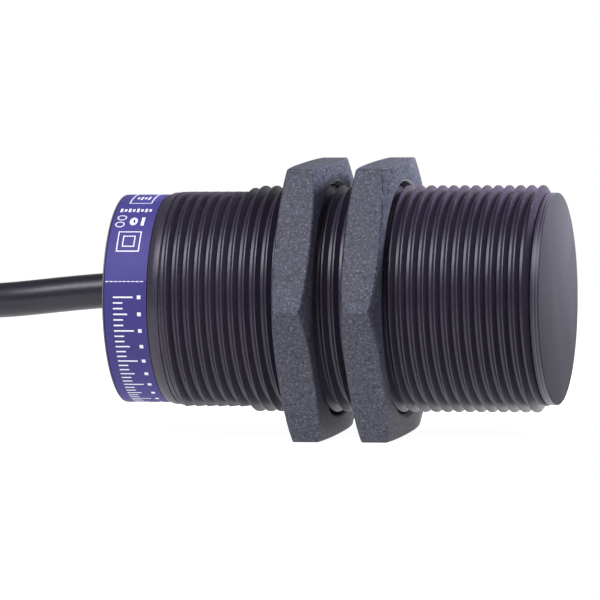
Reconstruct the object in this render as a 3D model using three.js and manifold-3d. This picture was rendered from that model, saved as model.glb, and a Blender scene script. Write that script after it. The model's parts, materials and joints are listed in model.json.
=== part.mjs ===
// Pre-wired inductive proximity sensor in a threaded M30 x 1.5 plastic barrel, with its two hex nuts.
// Millimetres, +Z up. The origin is the centre of the sensing face, and +X points out of that face.
import * as THREE from "three";
import { mergeVertices } from "three/addons/utils/BufferGeometryUtils.js";
import Module from "manifold-3d";

const wasm = await Module();
wasm.setup();

// ---- driving dimensions ----

const ROUND = 36; // sides of a turned piece
const FINE = 16; // sides of a small turned piece
const SNUG = 28; // sides of the turned pieces inside the barrel
const GAP = 0.1; // clearance between pieces that touch on the same axis

const THREAD_PITCH = 1.5;
const THREAD_CREST = 15; // radius
const THREAD_ROOT = 14.08; // radius
const THREAD_SIDES = 24;
const THREAD_PHASE_X = -41; // a crest passes the top of the barrel here
const BODY_BACK = -58.5; // outer face of the rear cap
const REAR_RIM = 0.2; // thickness of the rear cap's rim
const CAP_THICK = 1.2; // front cap's disc
const BARREL_FRONT = -1.3;
const THREAD_FRONT = -1.9;
const THREAD_BACK = -50.9;
const COLLAR_BACK = -52.4;
const COLLAR_RADIUS = 14.12;
const BORE = 12.4;
const TAIL_RADIUS = 13.45; // rear part of the barrel, under the label
const LABEL_RADIUS = 13.85;
const FLAT_HALF = 14.2; // wrench flats, half their distance apart
const FLAT_FRONT = -40.8; // shoulder at the front end of the flats
const FLAT_TURN = THREE.MathUtils.degToRad(4); // the flats' turn about the axis, against the nuts

const NUT_FLATS = 36; // across flats
const NUT_THICK = 5;
const NUT_BORE = 15.15;
const NUT_SINK = 0.75; // depth of the countersinks
const NUT_CHAMFER_ANGLE = THREE.MathUtils.degToRad(15);
const REAR_NUT_X = -34.65; // rear face of each nut
const FRONT_NUT_X = -25.4;

const BOARD_FRONT = -11.2;
const BOARD_BACK = -47.5;
const BOARD_WIDTH = 22;
const BOARD_THICK = 1.6;
const BOARD_TOP = BOARD_THICK / 2 + 0.05; // underside of what stands on the board

const CABLE_RADIUS = 2.35;
const CABLE_Z = 1.3; // height of the cable's exit above the axis
const LED_Y = -7.8; // status light, to one side of the cable
const LED_Z = 1.6;
const GUIDE_RADIUS = 1.4;

const FLOOR = -NUT_FLATS / 2; // what the nuts' flats stand on
const HANK_PITCH = 4.8; // between the centrelines of neighbouring turns
const HANK_FOLD = 14.2; // radius of the inner turns' folds
const HANK_RUN = 71; // straight part of each turn
const HANK_LAYERS = 4;
const HANK_NEAR_X = -119; // centre of the folds nearest the sensor
const TIE_THICK = 0.8;
const TIE_WIDTH = 9;
const HANK_BOTTOM = FLOOR + TIE_THICK + GAP;
const HANK_TOP = HANK_BOTTOM + (HANK_LAYERS - 1) * HANK_PITCH + 2 * CABLE_RADIUS;
const HANK_OUTER = HANK_FOLD + HANK_PITCH + CABLE_RADIUS + GAP;
const HANK_INNER = HANK_FOLD - CABLE_RADIUS - GAP;

// ---- finishes ----

const finish = (colour, roughness, metalness = 0) =>
  new THREE.MeshStandardMaterial({ color: colour, roughness, metalness });

const BARREL_PLASTIC = finish(0x3b3442, 0.42);
const NUT_PLASTIC = finish(0x5f626c, 0.62);
const FACE_PLASTIC = finish(0x6c6b76, 0.55);
const LABEL_FILM = finish(0x5a53a5, 0.5);
const CAP_PLASTIC = finish(0x6a6a70, 0.5);
const CABLE_JACKET = finish(0x35333f, 0.5);
const SEAL_RUBBER = finish(0x1c1c1e, 0.7);
const FERRITE = finish(0x2b2b2d, 0.8);
const NYLON = finish(0xd9d4c4, 0.5);
const COPPER = finish(0xb4652f, 0.35, 1);
const BRASS = finish(0xc2a35a, 0.35, 1);
const TINNED = finish(0xb9bcc0, 0.3, 1);
const BOARD_RESIN = finish(0x1f6b3a, 0.45);
const CHIP_EPOXY = finish(0x17171a, 0.55);
const CERAMIC = finish(0xb99a6b, 0.5);
const POTTING = finish(0x24241f, 0.4);
const CLEAR_PLASTIC = finish(0xe8eef2, 0.15);
const LED_PLASTIC = finish(0xf0b63c, 0.3);
const WIRE_BROWN = finish(0x6b3f22, 0.5);
const WIRE_BLUE = finish(0x2a5fb0, 0.5);
const WIRE_BLACK = finish(0x1d1d20, 0.5);
const TIE_NYLON = finish(0x202024, 0.75);

// ---- makers of simple shapes ----

/** A body turned about the X axis. The profile's [x, radius] corners run round the section. */
function turned(profile, sides = ROUND) {
  const corners = profile.map(([x, radius]) => new THREE.Vector2(radius, x));
  return new THREE.LatheGeometry(corners, sides).rotateZ(-Math.PI / 2);
}

/** A solid disc or rod on the X axis. */
function rod(x0, x1, radius, sides = ROUND) {
  return turned([[x0, 0], [x0, radius], [x1, radius], [x1, 0]], sides);
}

/** A tube on the X axis. */
function ring(x0, x1, inner, outer, sides = ROUND) {
  return turned([[x0, inner], [x0, outer], [x1, outer], [x1, inner], [x0, inner]], sides);
}

/** A block given by its size and its centre. */
function block(size, centre) {
  return new THREE.BoxGeometry(...size).translate(...centre);
}

/** A flexible round line through points, with square ends. */
function line(points, radius, steps, sides = 8) {
  const section = new THREE.Shape().absarc(0, 0, radius, 0, 2 * Math.PI);
  const route = new THREE.CatmullRomCurve3(points.map((point) => new THREE.Vector3(...point)));
  const options = { steps, curveSegments: sides, extrudePath: route, bevelEnabled: false };
  return new THREE.ExtrudeGeometry(section, options);
}

// ---- booleans ----

/** A geometry as a solid that can be cut and joined. */
function solid(geometry) {
  const bare = geometry.clone();
  bare.deleteAttribute("normal");
  bare.deleteAttribute("uv");
  const merged = mergeVertices(bare, 1e-4);
  const mesh = new wasm.Mesh({
    numProp: 3,
    vertProperties: new Float32Array(merged.attributes.position.array),
    triVerts: new Uint32Array(merged.index.array),
  });
  return new wasm.Manifold(mesh);
}

/** A solid as a geometry. */
function shapeOf(cut) {
  const mesh = cut.getMesh();
  const geometry = new THREE.BufferGeometry();
  const positions = new THREE.BufferAttribute(new Float32Array(mesh.vertProperties), 3);
  geometry.setAttribute("position", positions);
  geometry.setIndex(new THREE.BufferAttribute(new Uint32Array(mesh.triVerts), 1));
  geometry.computeVertexNormals();
  return geometry;
}

/** A geometry with others cut out of it. */
function cutOut(geometry, ...holes) {
  return shapeOf(holes.reduce((body, hole) => body.subtract(solid(hole)), solid(geometry)));
}

// ---- the body ----

/** A long right-hand V thread, closed at both ends, which the barrel is cut from. */
function threadStock() {
  const rows = 2 * Math.ceil((THREAD_FRONT - COLLAR_BACK) / THREAD_PITCH + 4);
  const turnsBehind = Math.ceil((THREAD_PHASE_X - COLLAR_BACK) / THREAD_PITCH) + 1.25;
  const start = THREAD_PHASE_X - THREAD_PITCH * turnsBehind;
  const positions = [];
  for (let row = 0; row < rows; row += 1) {
    const radius = row % 2 === 0 ? THREAD_CREST : THREAD_ROOT;
    for (let side = 0; side < THREAD_SIDES; side += 1) {
      const angle = (2 * Math.PI * side) / THREAD_SIDES;
      const x = start + THREAD_PITCH * (row / 2 + side / THREAD_SIDES);
      positions.push(x, radius * Math.cos(angle), radius * Math.sin(angle));
    }
  }
  // a full turn ends two rows further on, where the next crest and root begin
  const at = (row, side) =>
    side < THREAD_SIDES ? row * THREAD_SIDES + side : at(row + 2, side - THREAD_SIDES);
  const triangles = [];
  for (let row = 0; row + 1 < rows; row += 1) {
    const sides = row + 3 < rows ? THREAD_SIDES : THREAD_SIDES - 1;
    for (let side = 0; side < sides; side += 1) {
      const [a, b, c, d] = [at(row, side), at(row, side + 1), at(row + 1, side + 1), at(row + 1, side)];
      triangles.push(a, b, c, a, c, d);
    }
  }
  const across = [...Array(THREAD_SIDES).keys()];
  const backLoop = [...across.map((side) => at(0, side)), at(2, 0), at(1, 0)];
  const last = THREAD_SIDES - 1;
  const frontLoop = [...across.map((side) => at(rows - 1, side)), at(rows - 2, last), at(rows - 3, last)];
  const backHub = positions.length / 3;
  positions.push(start, 0, 0, start + (THREAD_PITCH * rows) / 2, 0, 0);
  backLoop.forEach((from, i) => triangles.push(backHub, backLoop[(i + 1) % backLoop.length], from));
  frontLoop.forEach((from, i) => triangles.push(backHub + 1, from, frontLoop[(i + 1) % frontLoop.length]));
  const geometry = new THREE.BufferGeometry();
  geometry.setAttribute("position", new THREE.Float32BufferAttribute(positions, 3));
  geometry.setIndex(triangles);
  return geometry;
}

/** The barrel: thread with lead-in chamfers, rear collar, wrench flats and the narrower rear part. */
function barrel() {
  const depth = THREAD_CREST - THREAD_ROOT;
  const envelope = turned([
    [THREAD_BACK - 0.1, 0],
    [THREAD_BACK - 0.1, THREAD_ROOT],
    [THREAD_BACK + depth, THREAD_CREST + 0.1],
    [THREAD_FRONT, THREAD_CREST + 0.1],
    [BARREL_FRONT, THREAD_ROOT],
    [BARREL_FRONT, 0],
  ]);
  const core = turned([
    [BODY_BACK + REAR_RIM + GAP, 0],
    [BODY_BACK + REAR_RIM + GAP, TAIL_RADIUS],
    [COLLAR_BACK, TAIL_RADIUS],
    [COLLAR_BACK, LABEL_RADIUS],
    [COLLAR_BACK + 0.7, COLLAR_RADIUS],
    [THREAD_BACK, COLLAR_RADIUS],
    [THREAD_BACK + 0.2, THREAD_ROOT - 0.2],
    [BARREL_FRONT - 0.5, THREAD_ROOT - 0.2],
    [BARREL_FRONT, THREAD_ROOT - 0.2],
    [BARREL_FRONT, 0],
  ]);
  let body = solid(threadStock()).intersect(solid(envelope)).add(solid(core));
  const cutter = 5;
  const length = FLAT_FRONT - COLLAR_BACK + 2;
  for (const turn of [0, Math.PI]) {
    const flat = block([length, 30, cutter], [FLAT_FRONT - length / 2, 0, FLAT_HALF + cutter / 2]);
    body = body.subtract(solid(flat.rotateX(turn - FLAT_TURN)));
  }
  return shapeOf(body.subtract(solid(rod(BODY_BACK - 1, 1, BORE))));
}

/** The sensing face: a disc with an eased edge and a spigot that plugs the barrel. */
function frontCap() {
  const edge = 0.35;
  return turned([
    [-CAP_THICK, 0],
    [-CAP_THICK, 11.75],
    [-4.6, 11.75],
    [-4.6, BORE - GAP],
    [-CAP_THICK, BORE - GAP],
    [-CAP_THICK, 14],
    [-edge, 14],
    [0, 14 - edge],
    [0, 0],
  ]);
}

/** The rear cap: a thin rim, a plug, and holes for the bushing and the light guide. */
function rearCap() {
  const plug = turned([
    [BODY_BACK, 0],
    [BODY_BACK, LABEL_RADIUS - 0.1],
    [BODY_BACK + 0.1, LABEL_RADIUS],
    [BODY_BACK + REAR_RIM, LABEL_RADIUS],
    [BODY_BACK + REAR_RIM, BORE - GAP],
    [-55.5, BORE - GAP],
    [-55.5, 0],
  ]);
  const bushingHole = rod(-60, -54, 3.9, FINE).translate(0, 0, CABLE_Z);
  const guideHole = rod(-60, -54, GUIDE_RADIUS + GAP, FINE).translate(0, LED_Y, LED_Z);
  return cutOut(plug, bushingHole, guideHole);
}

function labelSleeve() {
  const back = BODY_BACK + REAR_RIM + GAP;
  return ring(back, COLLAR_BACK - GAP, TAIL_RADIUS + GAP, LABEL_RADIUS);
}

/** A seal ring that lies in the barrel's bore. */
function seal(x) {
  const turnedAboutX = new THREE.TorusGeometry(BORE - 0.4, 0.3, 5, 28);
  return turnedAboutX.rotateY(Math.PI / 2).translate(x, 0, 0);
}

/** A hex nut on its flats: chamfered corners, and a clearance bore countersunk at both ends. */
function nut() {
  const across = NUT_FLATS / 2;
  const corner = across / Math.cos(Math.PI / 6);
  const hexagon = new THREE.CylinderGeometry(corner, corner, NUT_THICK, 6);
  hexagon.rotateZ(Math.PI / 2).rotateX(Math.PI / 2).translate(NUT_THICK / 2, 0, 0);
  const reach = (corner + 1 - across) * Math.tan(NUT_CHAMFER_ANGLE);
  const lens = turned([
    [0, 0],
    [0, across],
    [reach, corner + 1],
    [NUT_THICK - reach, corner + 1],
    [NUT_THICK, across],
    [NUT_THICK, 0],
  ]);
  const hole = turned([
    [-1, 0],
    [-1, NUT_BORE + NUT_SINK + 1],
    [NUT_SINK, NUT_BORE],
    [NUT_THICK - NUT_SINK, NUT_BORE],
    [NUT_THICK + 1, NUT_BORE + NUT_SINK + 1],
    [NUT_THICK + 1, 0],
  ]);
  return shapeOf(solid(hexagon).intersect(solid(lens)).subtract(solid(hole)));
}

// ---- the sensing coil ----

/** A pot core, open towards the sensing face, with two holes for the coil's leads. */
function ferriteCore() {
  const pot = turned([
    [-9.3, 1],
    [-9.3, 10.2],
    [-1.6, 10.2],
    [-1.6, 8.9],
    [-7.1, 8.9],
    [-7.1, 4.2],
    [-1.6, 4.2],
    [-1.6, 1],
    [-9.3, 1],
  ], SNUG);
  return cutOut(pot, ...coilLeads(0.45, 3));
}

function coilBobbin() {
  return turned([
    [-6.9, 4.35],
    [-6.9, 8.7],
    [-6.4, 8.7],
    [-6.4, 4.95],
    [-2.3, 4.95],
    [-2.3, 8.7],
    [-1.8, 8.7],
    [-1.8, 4.35],
    [-6.9, 4.35],
  ], SNUG);
}

/** Both straight leads from the coil to the board, or the holes round them. */
function coilLeads(radius, reach = 0) {
  const level = BOARD_TOP + 0.4;
  return [-6.8, 6.8].map((y) => rod(-13.6 - reach, -7 + reach, radius, 10).translate(0, y, level));
}

/** A thin cup that centres the core in the barrel. */
function coreHolder() {
  const cup = turned([
    [-10.6, 0],
    [-10.6, 11.05],
    [-1.4, 11.05],
    [-1.4, 10.35],
    [-9.6, 10.35],
    [-9.6, 0],
  ], SNUG);
  return cutOut(cup, ...coilLeads(0.45, 3));
}

// ---- the electronics ----

/** The circuit board, with two half-round locating notches in its long edges. */
function circuitBoard() {
  const board = block(
    [BOARD_FRONT - BOARD_BACK, BOARD_WIDTH, BOARD_THICK],
    [(BOARD_FRONT + BOARD_BACK) / 2, 0, 0],
  );
  const notches = [-1, 1].map((side) => {
    const drill = new THREE.CylinderGeometry(1.2, 1.2, 4, 12).rotateX(Math.PI / 2);
    return drill.translate(BOARD_FRONT - 4, (side * BOARD_WIDTH) / 2, 0);
  });
  return cutOut(board, ...notches);
}

/** A component that stands on the board: [name, x, y, length, width, height, finish]. */
const COMPONENTS = [
  ["sensor_ic", -20, 0, 5, 4, 1.5, CHIP_EPOXY],
  ["output_transistor", -38, -5, 6.5, 3.5, 1.6, CHIP_EPOXY],
  ["status_led", -46.2, LED_Y, 2, 1.6, 1.3, LED_PLASTIC],
  ["smoothing_capacitor", -32, -6, 3.5, 2.8, 1.9, CERAMIC],
  ["filter_capacitor", -24.5, -4, 2, 1.3, 1.2, CERAMIC],
  ["timing_capacitor", -24.5, -7, 2, 1.3, 1.2, CERAMIC],
  ["polarity_diode", -41, 5, 4, 2.6, 2, CHIP_EPOXY],
  ["clamp_diode", -35, 5, 4, 2.6, 2, CHIP_EPOXY],
  ["resistor_1", -15.5, -3.2, 2, 1.3, 0.6, CHIP_EPOXY],
  ["resistor_2", -15.5, 0, 2, 1.3, 0.6, CHIP_EPOXY],
  ["resistor_3", -15.5, 3.2, 2, 1.3, 0.6, CHIP_EPOXY],
  ["resistor_4", -30.5, 0, 2, 1.3, 0.6, CHIP_EPOXY],
];

/** The square trimmer that sets the switching distance, with its slotted rotor. */
function trimPotentiometer() {
  const at = [-26, 5.5];
  const size = 4.6;
  const body = block([size, size, 2], [at[0], at[1], BOARD_TOP + 1]);
  const rotor = new THREE.CylinderGeometry(1.6, 1.6, 1, FINE).rotateX(Math.PI / 2);
  rotor.translate(at[0], at[1], BOARD_TOP + 2.3);
  const slot = block([2.4, 0.5, 0.6], [at[0], at[1], BOARD_TOP + 2.8]);
  return shapeOf(solid(body).add(solid(rotor)).subtract(solid(slot)));
}

function lightGuide() {
  return rod(-58.8, BOARD_BACK - 0.2, GUIDE_RADIUS, FINE).translate(0, LED_Y, LED_Z);
}

/** The resin that seals the electronics off from the cable's end. */
function pottingPlug() {
  const disc = rod(-51.8, -50.3, BORE - GAP);
  const jacketHole = rod(-53, -49, CABLE_RADIUS + GAP, FINE).translate(0, 0, CABLE_Z);
  const guideHole = rod(-53, -49, GUIDE_RADIUS + GAP, FINE).translate(0, LED_Y, LED_Z);
  return cutOut(disc, jacketHole, guideHole);
}

// ---- the cable ----

/** The rubber bushing: a short tapered snout outside, and a flange inside the rear cap. */
function cableBushing() {
  const bore = CABLE_RADIUS + GAP;
  return turned([
    [-60.3, bore],
    [-60.3, 3.7],
    [BODY_BACK - GAP, 4.7],
    [BODY_BACK - GAP, 3.8],
    [-55.4, 3.8],
    [-55.4, 4.7],
    [-54.4, 4.7],
    [-54.4, bore],
    [-60.3, bore],
  ], FINE).translate(0, 0, CABLE_Z);
}

function cableJacketInner() {
  return rod(-60.3, -49.8, CABLE_RADIUS, FINE).translate(0, 0, CABLE_Z);
}

function cableClamp() {
  return ring(-53.7, -52, CABLE_RADIUS + GAP, 3.3, FINE).translate(0, 0, CABLE_Z);
}

/** An insulated core from the jacket's end to its pad on the board. */
function coreWire(side) {
  const level = BOARD_TOP + 0.65;
  return line([
    [-49.5, side * 1.3, CABLE_Z],
    [-48.4, side * 1.9, level + 0.1],
    [-46.8, side * 3, level],
    [-45.2, side * 3.6, level],
  ], 0.6, 6);
}

/** The cable's free stretch, from the bushing to the side of the hank. */
const CABLE_ROUTE = [
  [-60.6, 0, 1.1],
  [-64, 0, 0.67],
  [-68, 0, 0.2],
  [-72, 0.05, -0.25],
  [-76, 0.45, -0.62],
  [-82, 1.8, -0.92],
  [-88, 4.2, -1],
  [-92, 6.4, -0.9],
  [-96.7, 9.1, -0.72],
];

/** The cable's cut end, which runs on from the hank's outer bottom turn. */
const CABLE_TAIL = [
  [-103.6, -19, -15.3],
  [-101.5, -19, -15.5],
  [-98.3, -19, -15.6],
];

/** The outline of the hank's turns, seen from above, with a radius at its folds. */
function trackOutline(path, radius) {
  const [near, far] = [HANK_NEAR_X, HANK_NEAR_X - HANK_RUN];
  path.absarc(near, 0, radius, -Math.PI / 2, Math.PI / 2, false);
  path.absarc(far, 0, radius, Math.PI / 2, 1.5 * Math.PI, false);
  path.closePath();
  return path;
}

function cableHank() {
  const outline = trackOutline(new THREE.Shape(), HANK_OUTER);
  outline.holes.push(trackOutline(new THREE.Path(), HANK_INNER));
  const options = { depth: HANK_TOP - HANK_BOTTOM, bevelEnabled: false, curveSegments: 10 };
  return new THREE.ExtrudeGeometry(outline, options).translate(0, 0, HANK_BOTTOM);
}

/** The corners of a rectangle, in order. */
function rectangle(half, bottom, top) {
  const corners = [[half, top], [-half, top], [-half, bottom], [half, bottom]];
  return corners.map(([u, v]) => new THREE.Vector2(u, v));
}

/** The strap round the middle of the hank. */
function hankTie() {
  const slack = GAP / 2;
  const half = HANK_OUTER + slack;
  const [bottom, top] = [HANK_BOTTOM - slack, HANK_TOP + slack];
  const band = new THREE.Shape(rectangle(half + TIE_THICK, bottom - TIE_THICK, top + TIE_THICK));
  band.holes.push(new THREE.Path(rectangle(half, bottom, top)));
  const options = { depth: TIE_WIDTH, bevelEnabled: false };
  const geometry = new THREE.ExtrudeGeometry(band, options);
  geometry.rotateX(Math.PI / 2).rotateZ(Math.PI / 2);
  return geometry.translate(HANK_NEAR_X - HANK_RUN / 2 - TIE_WIDTH / 2, 0, 0);
}

/** The three insulated cores at the cable's cut end, and the tinned end of each. */
function leadRoutes(side) {
  const height = FLOOR + 0.75;
  const core = [
    [-97.9, -19 + side * 1.2, height + 1],
    [-94, -19 + side * 1.7, height + 0.3],
    [-88, -19 + side * 3, height],
    [-82.5, -19 + side * 3.6, height],
  ];
  const tip = [
    [-82.1, -19 + side * 3.62, height],
    [-79.5, -19 + side * 3.75, height],
    [-77, -19 + side * 3.8, height],
  ];
  return { core, tip };
}

// ---- assembly ----

const sensor = new THREE.Group();

/** Adds a named piece to the sensor. */
function add(name, geometry, material, x = 0) {
  const mesh = new THREE.Mesh(geometry, material);
  mesh.name = name;
  mesh.position.x = x;
  sensor.add(mesh);
}

add("threaded_barrel", barrel(), BARREL_PLASTIC);
add("front_cap", frontCap(), FACE_PLASTIC);
add("rear_cap", rearCap(), CAP_PLASTIC);
add("label_sleeve", labelSleeve(), LABEL_FILM);
add("front_o_ring", seal(-5), SEAL_RUBBER);
add("rear_o_ring", seal(-55.1), SEAL_RUBBER);
add("front_nut", nut(), NUT_PLASTIC, FRONT_NUT_X);
add("rear_nut", nut(), NUT_PLASTIC, REAR_NUT_X);

add("ferrite_core", ferriteCore(), FERRITE);
add("coil_bobbin", coilBobbin(), NYLON);
add("coil_winding", ring(-6.3, -2.4, 5.05, 8.3, SNUG), COPPER);
coilLeads(0.25).forEach((lead, i) => add(`coil_lead_${i + 1}`, lead, COPPER));
add("core_holder", coreHolder(), NYLON);
add("shield_ring", ring(-12, -1.4, 11.15, 11.6, SNUG), BRASS);

add("circuit_board", circuitBoard(), BOARD_RESIN);
for (const [name, x, y, length, width, height, material] of COMPONENTS) {
  add(name, block([length, width, height], [x, y, BOARD_TOP + height / 2]), material);
}
add("trim_potentiometer", trimPotentiometer(), NYLON);
add("light_guide", lightGuide(), CLEAR_PLASTIC);
add("potting_plug", pottingPlug(), POTTING);

add("cable_bushing", cableBushing(), SEAL_RUBBER);
add("cable_jacket_inner", cableJacketInner(), CABLE_JACKET);
add("cable_clamp", cableClamp(), BRASS);
const CORES = [["brown", -1, WIRE_BROWN], ["blue", 0, WIRE_BLUE], ["black", 1, WIRE_BLACK]];
for (const [colour, side, material] of CORES) {
  add(`core_wire_${colour}`, coreWire(side), material);
}

add("cable_run", line(CABLE_ROUTE, CABLE_RADIUS, 9), CABLE_JACKET);
add("cable_hank", cableHank(), CABLE_JACKET);
add("hank_tie", hankTie(), TIE_NYLON);
add("cable_tail", line(CABLE_TAIL, CABLE_RADIUS, 2), CABLE_JACKET);
for (const [colour, side, material] of CORES) {
  const { core, tip } = leadRoutes(side);
  add(`lead_${colour}`, line(core, 0.65, 5, 6), material);
  add(`lead_tip_${colour}`, line(tip, 0.4, 2, 6), TINNED);
}

export default sensor;
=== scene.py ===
"""Looks of a pre-wired M30 inductive proximity sensor: threaded barrel, two nuts, label, cable and insides.

Sizes are in millimetres until an object is made. The frame's X axis runs along the barrel and out of the
sensing face at x = 0, +Z is up, and the nuts stand on their flats at z = -18.
"""

from __future__ import annotations

import json
import logging
import math
from collections.abc import Callable, Iterable, Sequence
from dataclasses import dataclass, field
from enum import Enum

import bmesh
import bpy
from mathutils import Matrix, Vector

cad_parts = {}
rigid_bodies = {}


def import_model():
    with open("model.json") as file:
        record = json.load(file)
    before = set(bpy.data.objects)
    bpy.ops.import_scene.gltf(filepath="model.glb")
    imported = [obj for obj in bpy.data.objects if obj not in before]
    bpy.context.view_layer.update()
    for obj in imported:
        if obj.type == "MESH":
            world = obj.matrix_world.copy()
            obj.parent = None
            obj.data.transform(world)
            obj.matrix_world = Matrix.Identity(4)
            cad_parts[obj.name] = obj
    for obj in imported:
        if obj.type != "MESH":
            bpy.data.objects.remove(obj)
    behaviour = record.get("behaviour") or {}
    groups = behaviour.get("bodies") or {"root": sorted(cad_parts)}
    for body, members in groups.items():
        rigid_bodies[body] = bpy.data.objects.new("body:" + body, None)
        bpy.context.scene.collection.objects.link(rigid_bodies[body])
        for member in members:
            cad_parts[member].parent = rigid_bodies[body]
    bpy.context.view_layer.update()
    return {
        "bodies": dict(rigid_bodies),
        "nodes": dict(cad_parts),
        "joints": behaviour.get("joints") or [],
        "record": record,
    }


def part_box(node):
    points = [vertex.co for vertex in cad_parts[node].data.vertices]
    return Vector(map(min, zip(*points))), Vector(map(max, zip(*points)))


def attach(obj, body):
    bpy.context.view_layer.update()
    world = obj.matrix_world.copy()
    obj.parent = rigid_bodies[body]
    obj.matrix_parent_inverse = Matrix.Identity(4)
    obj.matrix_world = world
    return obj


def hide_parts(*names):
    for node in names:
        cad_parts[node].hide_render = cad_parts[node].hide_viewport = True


MM = 0.001
SENSOR = "sensor_body"
log = logging.getLogger("sensor")

Colour = tuple[float, float, float]
Point = tuple[float, float, float]
Profile = list[tuple[float, float]]
Outline = Sequence[tuple[float, float]]


# ---------------------------------------------------------------- shader maths


class Value:
    """A number that varies over a surface, with arithmetic that adds Math nodes."""

    def __init__(self, sheet: Sheet, socket: bpy.types.NodeSocket) -> None:
        """Wrap an output socket of the sheet's node tree."""
        self.sheet = sheet
        self.socket = socket

    def __add__(self, other: Value | float) -> Value:
        """Sum."""
        return self.sheet.math("ADD", self, other)

    __radd__ = __add__

    def __sub__(self, other: Value | float) -> Value:
        """Difference."""
        return self.sheet.math("SUBTRACT", self, other)

    def __rsub__(self, other: float) -> Value:
        """Difference from a number."""
        return self.sheet.math("SUBTRACT", other, self)

    def __mul__(self, other: Value | float) -> Value:
        """Product."""
        return self.sheet.math("MULTIPLY", self, other)

    __rmul__ = __mul__

    def above(self, edge: float, soft: float) -> Value:
        """A mask that rises from 0 to 1 as the value passes an edge.

        Args:
            edge: The value at which the mask begins.
            soft: How much further it takes to reach 1.

        Returns:
            The mask, between 0 and 1.
        """
        return self.sheet.math("ADD", (self - edge) * (1 / soft), 0.0, clamp=True)

    def magnitude(self) -> Value:
        """The value without its sign."""
        return self.sheet.math("ABSOLUTE", self, 0.0)

    def root(self) -> Value:
        """Square root."""
        return self.sheet.math("SQRT", self, 0.0)

    def wave(self) -> Value:
        """Sine of the value in radians."""
        return self.sheet.math("SINE", self, 0.0)


class Graph:
    """A node tree, with the one method that adds nodes to it."""

    def __init__(self, tree: bpy.types.NodeTree) -> None:
        """Take a tree over and empty it."""
        self.tree = tree
        self.tree.nodes.clear()

    def node(self, kind: str, settings: dict | None = None, sockets: dict | None = None) -> bpy.types.Node:
        """Add a node.

        Args:
            kind: The node's type name.
            settings: Its settings, by attribute.
            sockets: Values or links for its inputs, by name or number.

        Returns:
            The new node.
        """
        made = self.tree.nodes.new(kind)
        for key, setting in (settings or {}).items():
            setattr(made, key, setting)
        for key, given in (sockets or {}).items():
            self.feed(made.inputs[key], given)
        return made

    def feed(self, target: bpy.types.NodeSocket, given: object) -> None:
        """Link a value or socket to an input, or set its number or colour.

        Args:
            target: The input.
            given: What it gets.
        """
        if isinstance(given, Value):
            given = given.socket
        if isinstance(given, bpy.types.NodeSocket):
            self.tree.links.new(given, target)
        elif isinstance(given, tuple) and target.type == "RGBA":
            target.default_value = (*given[:3], 1)
        else:
            target.default_value = given


class Sheet(Graph):
    """One material's node tree, with the few calls that its finishes need."""

    def __init__(self, name: str) -> None:
        """Start an empty material of that name with a Principled shader.

        Args:
            name: The material's name.
        """
        self.material = bpy.data.materials.new(name)
        self.material.use_nodes = True
        super().__init__(self.material.node_tree)
        self.shader = self.node("ShaderNodeBsdfPrincipled")
        self.node("ShaderNodeOutputMaterial", None, {"Surface": self.shader.outputs[0]})

    def math(self, operation: str, a: Value | float, b: Value | float, clamp: bool = False) -> Value:
        """Add a Math node and wrap its result."""
        settings = {"operation": operation, "use_clamp": clamp}
        return Value(self, self.node("ShaderNodeMath", settings, {0: a, 1: b}).outputs[0])

    def place(self, stretch: Point = (1, 1, 1)) -> bpy.types.NodeSocket:
        """The surface point in millimetres, stretched along its axes.

        Args:
            stretch: A factor for each axis.

        Returns:
            The stretched point.
        """
        where = self.node("ShaderNodeTexCoord").outputs["Object"]
        scale = tuple(factor / MM for factor in stretch)
        settings = {"operation": "MULTIPLY"}
        return self.node("ShaderNodeVectorMath", settings, {0: where, 1: scale}).outputs[0]

    def axis(self, which: str) -> Value:
        """One coordinate of the surface point, in millimetres."""
        split = self.node("ShaderNodeSeparateXYZ", None, {0: self.place()})
        return Value(self, split.outputs[which])

    def noise(self, size: float, detail: float = 2, stretch: Point = (1, 1, 1), rough: float = 0.5) -> Value:
        """Cloudy noise.

        Args:
            size: The size of its largest blotches, in millimetres.
            detail: How many finer layers it has.
            stretch: Factors on the axes, below 1 to draw the noise out.
            rough: How strong the finer layers are.

        Returns:
            The noise, about 0 to 1.
        """
        sockets = {"Vector": self.place(stretch), "Scale": 1 / size, "Detail": detail, "Roughness": rough}
        return Value(self, self.node("ShaderNodeTexNoise", None, sockets).outputs[0])

    def cells(self, size: float) -> Value:
        """Distance from the middles of scattered cells of that size."""
        sockets = {"Vector": self.place(), "Scale": 1 / size}
        return Value(self, self.node("ShaderNodeTexVoronoi", None, sockets).outputs["Distance"])

    def blend(self, mask: Value | float, low: object, high: object) -> bpy.types.NodeSocket:
        """A colour between two, by a mask."""
        mixed = self.node("ShaderNodeMix", {"data_type": "RGBA"}, {0: mask, 6: low, 7: high})
        return mixed.outputs[2]

    def relief(self, height: Value, depth: float) -> None:
        """Bump the shader's normal by a height of that depth in millimetres."""
        sockets = {"Strength": 1.0, "Distance": depth * MM, "Height": height}
        self.feed(self.shader.inputs["Normal"], self.node("ShaderNodeBump", None, sockets).outputs[0])

    def set(self, **sockets: object) -> None:
        """Feed the shader's inputs; underscores in a name stand for spaces."""
        for key, given in sockets.items():
            self.feed(self.shader.inputs[key.replace("_", " ")], given)


def shade(colour: Colour, factor: float) -> Colour:
    """A colour made lighter or darker by a factor."""
    return tuple(min(1.0, channel * factor) for channel in colour)


# ---------------------------------------------------------------- finishes


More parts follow.
